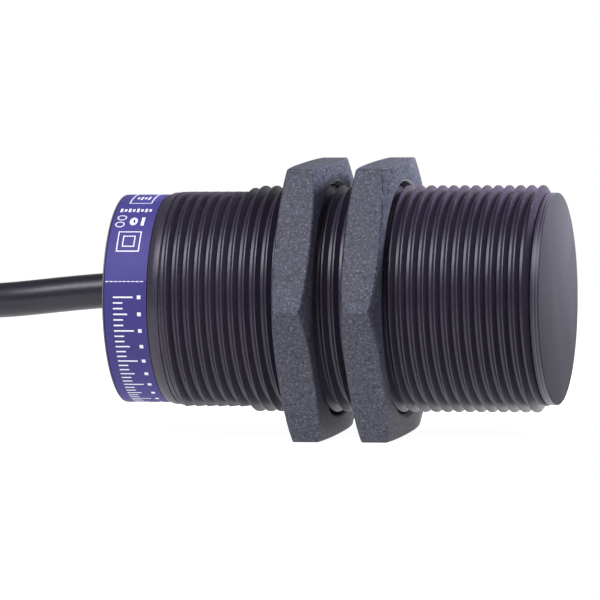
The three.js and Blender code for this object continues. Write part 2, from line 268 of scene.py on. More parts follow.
@dataclass(frozen=True)
class Finish:
    """A surface finish that is built into a material once and then shared."""

    name: str
    colour: Colour
    roughness: float = 0.5

    def dress(self, sheet: Sheet) -> None:
        """Build the finish's nodes; each kind of finish has its own."""
        sheet.set(Base_Color=self.colour, Roughness=self.roughness)

    def material(self) -> bpy.types.Material:
        """The finish's material, made on first use.

        Returns:
            The material, which all pieces of the finish share.
        """
        title = f"{self.name}_finish"
        made = bpy.data.materials.get(title)
        if made is None:
            sheet = Sheet(title)
            self.dress(sheet)
            made = sheet.material
        return made


@dataclass(frozen=True)
class Moulded(Finish):
    """Moulded plastic, rubber or resin: faint clouds, a fine spark-eroded grain and optional flecks."""

    grain: float = 0.25
    depth: float = 0.012
    clouds: float = 0.3
    mottle: float = 0.8
    flecks: float = 0.0
    fleck_colour: Colour = (0.3, 0.3, 0.34)
    pits: float = 0.0
    specular: float = 0.5

    def tint(self, sheet: Sheet, clouds: Value) -> bpy.types.NodeSocket:
        """The colour: clouds and mottle, flecks of filler, and pits.

        Args:
            sheet: The material's nodes.
            clouds: The noise that makes the clouds.

        Returns:
            The colour.
        """
        speck = sheet.noise(self.grain * 1.7, 2, rough=0.8)
        tone = (clouds - 0.5) * self.clouds + (speck - 0.5) * self.mottle + 0.5
        colour = sheet.blend(tone, shade(self.colour, 0.5), shade(self.colour, 1.5))
        if self.flecks:
            fleck = sheet.noise(self.grain * 1.1, 1).above(0.6, 0.06) * self.flecks
            colour = sheet.blend(fleck, colour, self.fleck_colour)
        if self.pits:
            pit = sheet.noise(self.grain * 1.9, 1, rough=0.7).above(0.62, 0.03) * self.pits
            colour = sheet.blend(pit, colour, shade(self.colour, 0.25))
        return colour

    def dress(self, sheet: Sheet) -> None:
        """Feed the colour, and the grain in roughness and relief.

        Args:
            sheet: The material's nodes.
        """
        clouds = sheet.noise(9, 3)
        grain = sheet.noise(self.grain, 3, rough=0.65)
        sheet.set(
            Base_Color=self.tint(sheet, clouds),
            Roughness=(grain - 0.5) * 0.22 + self.roughness + (clouds - 0.5) * 0.08,
            Specular_IOR_Level=self.specular,
        )
        sheet.relief(grain, self.depth)


@dataclass(frozen=True)
class NutPlastic(Moulded):
    """The nuts' plastic: as moulded, with a painted highlight that lightens the countersinks."""

    bore: float = 15.78
    painted_highlight: Colour = (0.2, 0.2, 0.23)

    def tint(self, sheet: Sheet, clouds: Value) -> bpy.types.NodeSocket:
        """The colour, with a painted highlight in the countersinks, inside the edge where they meet the
        faces.

        Args:
            sheet: The material's nodes.
            clouds: The noise that makes the clouds.

        Returns:
            The colour.
        """
        y, z = sheet.axis("Y"), sheet.axis("Z")
        # painted highlight: inside the radius where the countersinks meet the faces, the bore and both
        # countersinks take a paler colour
        inside = 1 - (y * y + z * z).root().above(self.bore, 0.03)
        return sheet.blend(inside, super().tint(sheet, clouds), self.painted_highlight)


@dataclass(frozen=True)
class SensingFace(Moulded):
    """The front cap: the barrel's plastic round its rim, with thin painted highlights at its joint lines,
    and a paler matt face.
    """

    rim: Colour = (0.034, 0.027, 0.046)
    joint_highlight_colour: Colour = (0.11, 0.1, 0.13)
    joints: tuple[float, ...] = (-0.3, -0.72)

    def dress(self, sheet: Sheet) -> None:
        """Blend the rim's colour and gloss into the matt face just behind its plane.

        Args:
            sheet: The material's nodes.
        """
        face = sheet.axis("X").above(-0.16, 0.1)
        grain = sheet.noise(self.grain, 3, rough=0.65)
        speck = sheet.noise(self.grain * 1.7, 2, rough=0.8)
        smears = sheet.noise(5, 3, stretch=(1, 1, 0.5))
        tone = (speck - 0.5) * self.mottle + (smears - 0.5) * self.clouds + 0.5
        matt = sheet.blend(tone, shade(self.colour, 0.5), shade(self.colour, 1.5))
        side = self.rim
        # painted highlights: a thin paler line on the rim at each joint, standing in for the glint off its
        # edge
        for place in self.joints:
            line = 1 - (sheet.axis("X") - place).magnitude().above(0.04, 0.03)
            side = sheet.blend(line, side, self.joint_highlight_colour)
        sheet.set(
            Base_Color=sheet.blend(face, side, matt),
            Roughness=face * (self.roughness - 0.45) + 0.45 + (grain - 0.5) * 0.15,
            Specular_IOR_Level=self.specular,
        )
        sheet.relief(grain, self.depth)


@dataclass(frozen=True)
class Film(Finish):
    """Printed label film: an even ink with a slight screen texture and a satin laminate."""

    def dress(self, sheet: Sheet) -> None:
        """Ink density by clouds, and the screen in the roughness.

        Args:
            sheet: The material's nodes.
        """
        ink = sheet.noise(3.5, 3)
        screen = sheet.noise(0.12, 1)
        sheet.set(
            Base_Color=sheet.blend(ink, shade(self.colour, 0.93), shade(self.colour, 1.07)),
            Roughness=(screen - 0.5) * 0.1 + self.roughness,
            Coat_Weight=0.03,
            Coat_Roughness=0.5,
            Specular_IOR_Level=0.35,
        )


@dataclass(frozen=True)
class Jacket(Finish):
    """Extruded cable jacket: satin, with faint lines drawn along it."""

    def dress(self, sheet: Sheet) -> None:
        """Streaks along the length in roughness, and a soft orange peel.

        Args:
            sheet: The material's nodes.
        """
        streaks = sheet.noise(0.8, 2, stretch=(0.12, 1, 1))
        peel = sheet.noise(0.4, 2)
        sheet.set(
            Base_Color=sheet.blend(streaks, shade(self.colour, 0.88), shade(self.colour, 1.12)),
            Roughness=(streaks - 0.5) * 0.14 + self.roughness,
        )
        sheet.relief(peel + streaks * 0.5, 0.012)


@dataclass(frozen=True)
class Metal(Finish):
    """Bare metal with drawn lines and a little tarnish."""

    lines: Point = (0.15, 1, 1)
    tarnish: Colour = (0.2, 0.16, 0.1)

    def dress(self, sheet: Sheet) -> None:
        """Lines in roughness and relief, tarnish in colour.

        Args:
            sheet: The material's nodes.
        """
        drawn = sheet.noise(0.3, 3, stretch=self.lines)
        dull = sheet.noise(2.2, 3).above(0.52, 0.3)
        sheet.set(
            Base_Color=sheet.blend(dull * 0.35, self.colour, self.tarnish),
            Roughness=drawn * 0.2 + self.roughness + dull * 0.12,
            Metallic=1.0,
        )
        sheet.relief(drawn, 0.004)


@dataclass(frozen=True)
class Enamelled(Finish):
    """Copper winding wire under clear enamel."""

    def dress(self, sheet: Sheet) -> None:
        """Small changes of tone from turn to turn.

        Args:
            sheet: The material's nodes.
        """
        turns = sheet.noise(0.35, 2, stretch=(1, 0.2, 0.2))
        sheet.set(
            Base_Color=sheet.blend(turns, shade(self.colour, 0.6), shade(self.colour, 1.25)),
            Roughness=turns * 0.1 + self.roughness,
            Metallic=0.85,
            Coat_Weight=0.6,
            Coat_Roughness=0.12,
        )
        sheet.relief(turns, 0.006)


@dataclass(frozen=True)
class Sintered(Finish):
    """Pressed and fired grains: ferrite and chip ceramic."""

    grain: float = 0.3

    def dress(self, sheet: Sheet) -> None:
        """Pits between grains, in colour and roughness.

        Args:
            sheet: The material's nodes.
        """
        pits = sheet.cells(self.grain)
        tone = pits * 0.6 + sheet.noise(1.5, 3) * 0.4
        sheet.set(
            Base_Color=sheet.blend(tone, shade(self.colour, 1.25), shade(self.colour, 0.7)),
            Roughness=pits * 0.2 + self.roughness,
        )


@dataclass(frozen=True)
class Laminate(Finish):
    """Circuit board: solder mask over woven glass, with a pale bare edge."""

    edge_colour: Colour = (0.36, 0.31, 0.13)
    half_width: float = 10.93

    def dress(self, sheet: Sheet) -> None:
        """Weave as crossed waves, and the bare laminate at the long edges.

        Args:
            sheet: The material's nodes.
        """
        across, along = sheet.axis("X") * 7.0, sheet.axis("Y") * 7.0
        weave = across.wave() * 0.25 + along.wave() * 0.25 + 0.5
        bare = sheet.axis("Y").magnitude().above(self.half_width, 0.03)
        mask = sheet.blend(weave, shade(self.colour, 0.82), shade(self.colour, 1.15))
        sheet.set(
            Base_Color=sheet.blend(bare, mask, self.edge_colour),
            Roughness=weave * 0.08 + self.roughness + bare * 0.35,
        )
        sheet.relief(weave, 0.006)


@dataclass(frozen=True)
class Woven(Finish):
    """Hook-and-loop strap: a close plain weave with lifted fibres."""

    pitch: float = 0.55

    def dress(self, sheet: Sheet) -> None:
        """Crossed threads as waves, fuzz from fine noise.

        Args:
            sheet: The material's nodes.
        """
        step = 2 * math.pi / self.pitch
        warp = (sheet.axis("X") * step).wave()
        weft = (sheet.axis("Y") * step).wave() + (sheet.axis("Z") * step).wave()
        thread = warp * weft * 0.25 + 0.5
        fuzz = sheet.noise(0.14, 3, rough=0.7)
        tone = thread * 0.6 + fuzz * 0.4
        sheet.set(
            Base_Color=sheet.blend(tone, shade(self.colour, 0.5), shade(self.colour, 2.2)),
            Roughness=fuzz * 0.2 + self.roughness,
            Sheen_Weight=0.3,
        )
        sheet.relief(thread + fuzz * 0.4, 0.06)


@dataclass(frozen=True)
class Clear(Finish):
    """Clear or tinted moulded plastic that passes light."""

    passes: float = 0.7

    def dress(self, sheet: Sheet) -> None:
        """Slight flow lines in an otherwise clear body.

        Args:
            sheet: The material's nodes.
        """
        flow = sheet.noise(1.6, 2, stretch=(0.3, 1, 1))
        sheet.set(
            Base_Color=sheet.blend(flow, shade(self.colour, 0.92), self.colour),
            Roughness=flow * 0.08 + self.roughness,
            Transmission_Weight=self.passes,
            IOR=1.49,
        )
        sheet.relief(flow, 0.004)


class Stock:
    """Every finish on the sensor, by the piece it belongs to."""

    barrel = Moulded(
        "barrel_plastic", (0.035, 0.028, 0.048), 0.4, grain=0.22, depth=0.014, clouds=0.4, mottle=1.6
    )
    nut = NutPlastic(
        "nut_plastic",
        (0.043, 0.046, 0.069),
        0.6,
        grain=0.25,
        depth=0.02,
        clouds=0.6,
        mottle=2.6,
        flecks=0.7,
        fleck_colour=(0.16, 0.16, 0.19),
        pits=0.85,
    )
    face = SensingFace(
        "face_plastic", (0.056, 0.055, 0.069), 0.55, grain=0.2, depth=0.01, clouds=0.4, mottle=1.2
    )
    cap = Moulded("cap_plastic", (0.15, 0.15, 0.14), 0.5, grain=0.22, depth=0.012, clouds=0.2, mottle=0.9)
    label = Film("label_film", (0.066, 0.055, 0.25), 0.62)
    panel = Film("label_panel_ink", (0.046, 0.036, 0.2), 0.62)
    ink = Film("label_white_ink", (0.86, 0.86, 0.93), 0.4)
    jacket = Jacket("cable_jacket", (0.02, 0.017, 0.028), 0.34)
    seal = Moulded("seal_rubber", (0.01, 0.01, 0.011), 0.62, grain=0.2, depth=0)
    potting = Moulded("potting_resin", (0.014, 0.014, 0.011), 0.3, grain=2.2, depth=0.05)
    nylon = Moulded(
        "natural_nylon", (0.66, 0.61, 0.5), 0.45, grain=0.3, depth=0.01, clouds=0.15, mottle=0.3
    )
    epoxy = Moulded("chip_epoxy", (0.008, 0.008, 0.0095), 0.55, grain=0.1, depth=0.008)
    ferrite = Sintered("ferrite", (0.024, 0.024, 0.026), 0.6)
    ceramic = Sintered("chip_ceramic", (0.45, 0.3, 0.15), 0.45, grain=0.12)
    brass = Metal("brass", (0.72, 0.5, 0.2), 0.22)
    tinned = Metal("tinned", (0.75, 0.76, 0.78), 0.2, tarnish=(0.4, 0.4, 0.4))
    copper = Enamelled("copper", (0.7, 0.22, 0.06), 0.2)
    board = Laminate("board_resin", (0.014, 0.146, 0.042), 0.25)
    strap = Woven("tie_nylon", (0.016, 0.016, 0.02), 0.8)
    clear = Clear("clear_plastic", (0.86, 0.9, 0.93), 0.08)
    lamp = Clear("led_plastic", (0.9, 0.5, 0.05), 0.12, passes=0.5)
    brown = Jacket("wire_brown", (0.16, 0.055, 0.018), 0.4)
    blue = Jacket("wire_blue", (0.024, 0.12, 0.45), 0.4)
    black = Jacket("wire_black", (0.012, 0.012, 0.014), 0.4)


# ---------------------------------------------------------------- shapes


def eased(corners: Profile, radius: float, steps: int = 3, closed: bool = True) -> Profile:
    """Round the corners of a profile, except those on the axis.

    Args:
        corners: The profile's corners, in order.
        radius: How far each round starts from its corner.
        steps: The faces in each round.
        closed: Whether the profile closes on itself; if not, its two ends stay sharp.

    Returns:
        The profile with short curves at its corners.
    """
    count = len(corners)
    out: Profile = []
    for i, corner in enumerate(corners):
        if corner[1] == 0 or (not closed and i in (0, count - 1)):
            out.append(corner)
            continue
        here = Vector(corner)
        before, after = Vector(corners[i - 1]), Vector(corners[(i + 1) % count])
        start = here + (before - here).normalized() * min(radius, 0.45 * (before - here).length)
        end = here + (after - here).normalized() * min(radius, 0.45 * (after - here).length)
        for k in range(steps + 1):
            t = k / steps
            spot = start * (1 - t) ** 2 + here * (2 * t * (1 - t)) + end * t**2
            out.append((spot.x, spot.y))
    return out


def smooth_route(points: Sequence[Point], steps: int = 4) -> list[Vector]:
    """A smooth curve through points, as a denser list of points.

    Args:
        points: The points that it passes through.
        steps: How many points each stretch gets.

    Returns:
        The curve's points.
    """
    knots = [Vector(p) for p in points]
    knots = [knots[0] * 2 - knots[1], *knots, knots[-1] * 2 - knots[-2]]
    route = []
    for a, b, c, d in zip(knots, knots[1:], knots[2:], knots[3:]):
        for k in range(steps):
            t = k / steps
            pull = (c - a) * t + (2 * a - 5 * b + 4 * c - d) * t**2 + (3 * b - a - 3 * c + d) * t**3
            route.append(b + 0.5 * pull)
    return [*route, knots[-2]]


class Form:
    """A mesh under construction, in millimetres."""

    def __init__(self) -> None:
        """Start with nothing."""
        self.mesh = bmesh.new()

    def rings(self, rows: Sequence[Sequence[Point]], ends: bool = False, loop: bool = False) -> Form:
        """Skin a row of closed rings.

        Args:
            rows: Each ring's points, with the same number in each.
            ends: Whether to close the first and last ring with a face.
            loop: Whether the last ring joins the first.

        Returns:
            The form, for more to be added.
        """
        made = [[self.mesh.verts.new(p) for p in row] for row in rows]
        pairs = list(zip(made, made[1:])) + ([(made[-1], made[0])] if loop else [])
        for low, high in pairs:
            for i in range(len(low)):
                j = (i + 1) % len(low)
                self.mesh.faces.new((low[i], low[j], high[j], high[i]))
        if ends:
            self.mesh.faces.new(made[0][::-1])
            self.mesh.faces.new(made[-1])
        return self

    def turned(self, profile: Profile, sides: int = 96, centre: tuple[float, float] = (0, 0)) -> Form:
        """Add a body turned about a line along X.

        Args:
            profile: The section's points, by x and radius; it closes on itself.
            sides: How many sides the body has.
            centre: Y and z of the line.

        Returns:
            The form, for more to be added.
        """
        turns = [2 * math.pi * i / sides for i in range(sides)]
        y, z = centre
        rows = [[(x, y + r * math.cos(t), z + r * math.sin(t)) for t in turns] for x, r in profile]
        return self.rings(rows, loop=True)

    def block(self, size: Point, centre: Point, ease: float = 0.0) -> Form:
        """Add a block.

        Args:
            size: Its length along each axis.
            centre: Its middle.
            ease: How far its edges are eased.

        Returns:
            The form, for more to be added.
        """
        spot = Matrix.Translation(centre) @ Matrix.Diagonal((*size, 1))
        made = bmesh.ops.create_cube(self.mesh, size=1, matrix=spot)
        if ease:
            edges = dict.fromkeys(edge for vertex in made["verts"] for edge in vertex.link_edges)
            options = {"affect": "EDGES", "offset": ease, "segments": 2, "profile": 0.6}
            bmesh.ops.bevel(self.mesh, geom=list(edges), **options)
        return self

    def drum(self, low: Point, high: Point, radius: float, sides: int = 40) -> Form:
        """Add a plain cylinder between two points."""
        start, end = Vector(low), Vector(high)
        return self.tube([start, end], radius, sides)

    def tube(self, route: Sequence[Vector], radius: float, sides: int = 16, tip: float = 0.0) -> Form:
        """Add a round bar along a route.

        Args:
            route: The points of its middle line.
            radius: Its radius.
            sides: How many sides it has.
            tip: How far the round at each end reaches, 0 for a square end.

        Returns:
            The form, for more to be added.
        """
        headings = [(b - a).normalized() for a, b in zip(route, route[1:])]
        headings.append(headings[-1])
        side = headings[0].orthogonal().normalized()
        rows = []
        for i, (spot, heading) in enumerate(zip(route, headings, strict=True)):
            side = (side - heading * side.dot(heading)).normalized()
            other = heading.cross(side)
            ring = [2 * math.pi * k / sides for k in range(sides)]
            row = [(side * math.cos(t) + other * math.sin(t)) for t in ring]
            last = i == len(route) - 1
            if tip and i == 0:
                rows.append([spot + way * (radius - tip) for way in row])
                spot = spot + heading * tip
            if tip and last:
                rows.append([spot - heading * tip + way * radius for way in row])
                rows.append([spot + way * (radius - tip) for way in row])
                continue
            rows.append([spot + way * radius for way in row])
        return self.rings(rows, ends=True)

    def data(self, name: str, crease: float = 40) -> bpy.types.Mesh:
        """The finished mesh in metres, with meeting points merged and every face pointing outwards.

        Args:
            name: The mesh's name.
            crease: Edges sharper than this many degrees stay sharp.

        Returns:
            The mesh.
        """
        margin = 1e-4
        bmesh.ops.remove_doubles(self.mesh, verts=self.mesh.verts, dist=margin)
        bmesh.ops.dissolve_degenerate(self.mesh, edges=self.mesh.edges, dist=margin / 10)
        bmesh.ops.recalc_face_normals(self.mesh, faces=self.mesh.faces)
        self.mesh.transform(Matrix.Scale(MM, 4))
        mesh = bpy.data.meshes.new(name)
        self.mesh.to_mesh(mesh)
        self.mesh.free()
        mesh.shade_smooth()
        mesh.set_sharp_from_angle(angle=math.radians(crease))
        return mesh


def cut(body: bpy.types.Object, tool: Form, crease: float = 40) -> None:
    """Cut a solid out of an object's mesh.

    Args:
        body: The object.
        tool: The solid that is taken away.
        crease: Edges sharper than this many degrees stay sharp.
    """
    cutter = bpy.data.objects.new("cutter", tool.data("cutter"))
    bpy.context.scene.collection.objects.link(cutter)
    change = body.modifiers.new("cut", "BOOLEAN")
    change.operation, change.object, change.solver = "DIFFERENCE", cutter, "EXACT"
    evaluated = body.evaluated_get(bpy.context.evaluated_depsgraph_get())
    mesh = bpy.data.meshes.new_from_object(evaluated)
    body.modifiers.clear()
    old, body.data = body.data, mesh
    bpy.data.meshes.remove(old)
    bpy.data.objects.remove(cutter)
    mesh.shade_smooth()
    mesh.set_sharp_from_angle(angle=math.radians(crease))


@dataclass
class Bench:
    """Puts finished pieces on the sensor and keeps count of them."""

    frame: dict
    pieces: list[str] = field(default_factory=list)

    def add(
        self,
        name: str,
        shape: Form | bpy.types.ID,
        finish: Finish,
        slot: str,
        body: str = SENSOR,
        stands_for: Sequence[str] = (),
        crease: float = 40,
    ) -> bpy.types.Object:
        """Make a piece of the object.

        Args:
            name: The piece's name.
            shape: Its form, or data that is already made.
            finish: Its surface.
            slot: The record's material slot for its finish; not used.
            body: The body that it moves with.
            stands_for: The frame's nodes that it replaces.
            crease: Edges sharper than this many degrees stay sharp.

        Returns:
            The new object.
        """
        data = shape.data(name, crease) if isinstance(shape, Form) else shape
        piece = bpy.data.objects.new(name, data)
        bpy.context.scene.collection.objects.link(piece)
        piece.data.materials.clear()
        piece.data.materials.append(finish.material())
        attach(piece, body)
        if stands_for:
            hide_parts(*stands_for)
        self.pieces.append(name)
        log.info("made %s", name)
        return piece

    def dress(self, node: str, finish: Finish) -> None:
        """Give one of the frame's own nodes its finish.

        Args:
            node: The node's name.
            finish: Its surface.
        """
        slots = self.frame["nodes"][node].material_slots
        if not slots:
            self.frame["nodes"][node].data.materials.append(finish.material())
        for entry in slots:
            entry.material = finish.material()
        log.info("dressed %s", node)


# ---------------------------------------------------------------- thread


@dataclass(frozen=True)
class Thread:
    """A right-hand M30 x 1.5 thread: where its rows of points run and how deep it is."""

    crest: float
    root: float
    pitch: float = 1.5
    crest_flat: float = 0.15
    root_flat: float = 0.32
    ease: float = 0.05
    phase: float = -41.0

    def rows(self) -> Profile:
        """One pitch of the section: offset along the axis and radius at each row.

        Returns:
            Each row's offset and radius, from the back of one crest to the next.
        """
        depth = self.root - self.crest
        flank = (self.pitch - self.crest_flat - self.root_flat - 4 * self.ease) / 2
        shallow, deep = self.crest + depth * 0.09, self.root - depth * 0.09
        steps = [self.crest_flat, self.ease, flank, self.ease, self.root_flat, self.ease, flank]
        radii = [self.crest, self.crest, shallow, deep, self.root, self.root, deep, shallow]
        offsets = [-self.crest_flat / 2]
        for step in steps:
            offsets.append(offsets[-1] + step)
        return list(zip(offsets, radii, strict=True))

    def skin(
        self,
        form: Form,
        low: float,
        high: float,
        limit: Callable[[float, float], float],
        angles: Sequence[float],
    ) -> None:
        """Add the thread's surface between two planes.

        Args:
            form: The form that takes the surface.
            low: Where the thread starts along X.
            high: Where it ends.
            limit: Gives the radius to use from x and the thread's own radius.
            angles: Where the points lie round the axis, in radians from +Y, rising through one turn.
        """
        section = self.rows()
        per_turn, sides = len(section), len(angles)
        first = math.floor((low - self.phase) / self.pitch) - 2
        last = math.ceil((high - self.phase) / self.pitch) + 1
        grid = []
        for turn in range(first, last + 1):
            for offset, radius in section:
                row = []
                for angle in angles:
                    # a crest passes the top, a quarter turn on, at the thread's phase
                    x = self.phase + self.pitch * (turn + angle / (2 * math.pi) - 0.25) + offset
                    x = min(max(x, low), high)
                    r = limit(x, radius)
                    row.append(form.mesh.verts.new((x, r * math.cos(angle), r * math.sin(angle))))
                grid.append(row)
        for i, (row, above) in enumerate(zip(grid, grid[1:])):
            for side in range(sides):
                following, rise = (side + 1) % sides, per_turn if side == sides - 1 else 0
                if i + 1 + rise >= len(grid):
                    continue
                corners = (row[side], grid[i + rise][following], grid[i + 1 + rise][following], above[side])
                form.mesh.faces.new(corners)


# ---------------------------------------------------------------- barrel and caps


@dataclass
class Barrel:
    """The threaded housing with its wrench flats."""

    thread: Thread = Thread(15.0, 13.98)
    back: float = -50.9
    end: float = -1.3
    bore: float = 12.4
    collar: float = 14.12
    collar_back: float = -52.4
    tail: float = 13.45
    tail_back: float = -58.2
    rim: float = 13.85
    flat_half: float = 14.2
    flat_front: float = -40.8
    flat_turn: float = -4.0
    sides: int = 168
    crease: float = 52

    def limit(self, x: float, radius: float) -> float:
        """Hold the thread inside its lead-in chamfers."""
        root = self.thread.root
        return min(radius, root + max(0.0, x - self.back), root + max(0.0, self.end - x) * 1.6)

    def build(self, bench: Bench) -> None:
        """Make the barrel as one closed mesh, then mill its two flats.

        Args:
            bench: The bench that takes the pieces.
        """
        form = Form()
        turns = [2 * math.pi * i / self.sides for i in range(self.sides)]
        self.thread.skin(form, self.back, self.end, self.limit, turns)
        root = self.thread.root
        rest = [
            (self.end, root),
            (self.end, self.bore + 0.15),
            (self.end - 0.15, self.bore),
            (self.tail_back, self.bore),
            (self.tail_back, self.tail),
            (self.collar_back, self.tail),
            (self.collar_back, self.rim),
            (self.collar_back + 0.65, self.collar - 0.03),
            (self.collar_back + 0.75, self.collar),
            (self.back - 0.05, self.collar),
            (self.back, root),
        ]
        form.rings([[(x, r * math.cos(t), r * math.sin(t)) for t in turns] for x, r in rest])
        piece = bench.add(
            "threaded_barrel_fine",
            form,
            Stock.barrel,
            "barrel_plastic",
            stands_for=["threaded_barrel"],
            crease=self.crease,
        )
        length, wide, deep = self.flat_front - self.collar_back + 2, 30, 5.0
        turn = Matrix.Rotation(math.radians(self.flat_turn), 4, "X")
        for side in (1, -1):
            middle = (self.flat_front - length / 2, 0, side * (self.flat_half + deep / 2))
            tool = Form().block((length, wide, deep), middle)
            tool.mesh.transform(turn)
            cut(piece, tool, self.crease)


@dataclass
class TurnedPart:
    """A piece turned about the barrel's axis, or about a line beside it."""

    name: str
    profile: Profile
    finish: Finish
    slot: str
    ease: float = 0.08
    centre: tuple[float, float] = (0, 0)
    sides: int = 96
    holes: Sequence[tuple[float, float, float]] = ()

    def build(self, bench: Bench) -> None:
        """Turn the piece and drill its holes, each given by y, z and radius.

        Args:
            bench: The bench that takes the pieces.
        """
        form = Form().turned(eased(self.profile, self.ease), self.sides, self.centre)
        piece = bench.add(f"{self.name}_fine", form, self.finish, self.slot, stands_for=[self.name])
        reach = [x for x, _ in self.profile]
        for y, z, radius in self.holes:
            tool = Form().drum((min(reach) - 1, y, z), (max(reach) + 1, y, z), radius)
            cut(piece, tool)


@dataclass
class Nut:
    """A moulded hex nut: chamfered corners, countersunk bore and a thread that clears the barrel."""

    name: str
    body: str
    back: float
    thick: float = 5.0
    across: float = 36.0
    sink: float = 0.62
    dome_start: float = 16.5
    dome_fall: float = 0.75
    corner_round: float = 0.2
    edge_break: float = 0.16
    inset: float = 0.15
    ease: float = 0.1
    thread: Thread = Thread(15.15, 15.5)

    @property
    def front(self) -> float:
        """The face towards +X."""
        return self.back + self.thick

    def limit(self, x: float, radius: float) -> float:
        """Open the bore out at both countersinks."""
        edge = min(x - self.back, self.front - x)
        return max(radius, self.thread.crest + self.sink - edge)

    def outline(self) -> list[tuple[float, float]]:
        """The hexagon with rounded corners, two of them on the Y axis.

        Returns:
            Its points in order, each as an angle from +Y and a radius.
        """
        half, rounding = self.across / 2, self.corner_round
        centre = (half - rounding) / math.cos(math.pi / 6)

        def spot(way: float, turn: float) -> tuple[float, float]:
            """A point on the round of the corner that lies one way, turned to an angle."""
            y = centre * math.cos(way) + rounding * math.cos(turn)
            return (y, centre * math.sin(way) + rounding * math.sin(turn))

        flats = 14
        steps = [i / flats for i in range(1, flats)]
        points = []
        for k in range(6):
            way = math.pi / 3 * k
            arc = [way + math.radians(step * 7.5) for step in range(-4, 5)]
            points += [spot(way, turn) for turn in arc]
            (y0, z0), (y1, z1) = points[-1], spot(way + math.pi / 3, arc[-1])
            points += [(y0 + (y1 - y0) * t, z0 + (z1 - z0) * t) for t in steps]
        polar = [(math.atan2(z, y) % (2 * math.pi), math.hypot(y, z)) for y, z in points]
        return sorted(polar)

    def section(self, radius: float) -> Profile:
        """The section from one countersink, over the outside, to the other.

        Args:
            radius: The outline's radius where the section is taken.

        Returns:
            Its points, by x and radius.
        """
        corner = self.across / 2 / math.cos(math.pi / 6)
        edge, lip = self.edge_break, self.thread.crest + self.sink
        start = self.back + self.inset
        side = [(start, self.limit(start, 0)), (self.back, lip)]
        steps = 4
        for k in range(steps + 1):
            # the face falls away towards the corners in a shallow dome
            r = self.dome_start + (radius - edge - self.dome_start) * k / steps
            reach = (r - self.dome_start) / (corner - self.dome_start)
            side.append((self.back + self.dome_fall * reach**2, r))
        side.append((side[-1][0] + edge, radius))
        return side + [(self.back + self.front - x, r) for x, r in reversed(side)]

    def build(self, bench: Bench) -> None:
        """Skin the outside, section by section, and thread the bore.

        Args:
            bench: The bench that takes the pieces.
        """
        outline = self.outline()
        angles = [angle for angle, _ in outline]
        form = Form()
        self.thread.skin(form, self.back + self.inset, self.front - self.inset, self.limit, angles)
        columns = [eased(self.section(radius), self.ease, closed=False) for _, radius in outline]
        rows = []
        for level in zip(*columns, strict=True):
            places = zip(level, angles, strict=True)
            rows.append([(x, r * math.cos(angle), r * math.sin(angle)) for (x, r), angle in places])
        form.rings(rows)
        bench.add(f"{self.name}_fine", form, Stock.nut, "nut_plastic", self.body, [self.name], crease=32)


# ---------------------------------------------------------------- label


class Print(Enum):
    """Kinds of plain printed mark."""

    BAR = "bar"
    FRAME = "frame"
    RING = "ring"
    DOT = "dot"


@dataclass(frozen=True)
class Mark:
    """One printed mark: its kind, its middle along X and in degrees round the band, and its size."""

    kind: Print
    x: float
    along: float
    wide: float
    tall: float
    line: float = 0.2


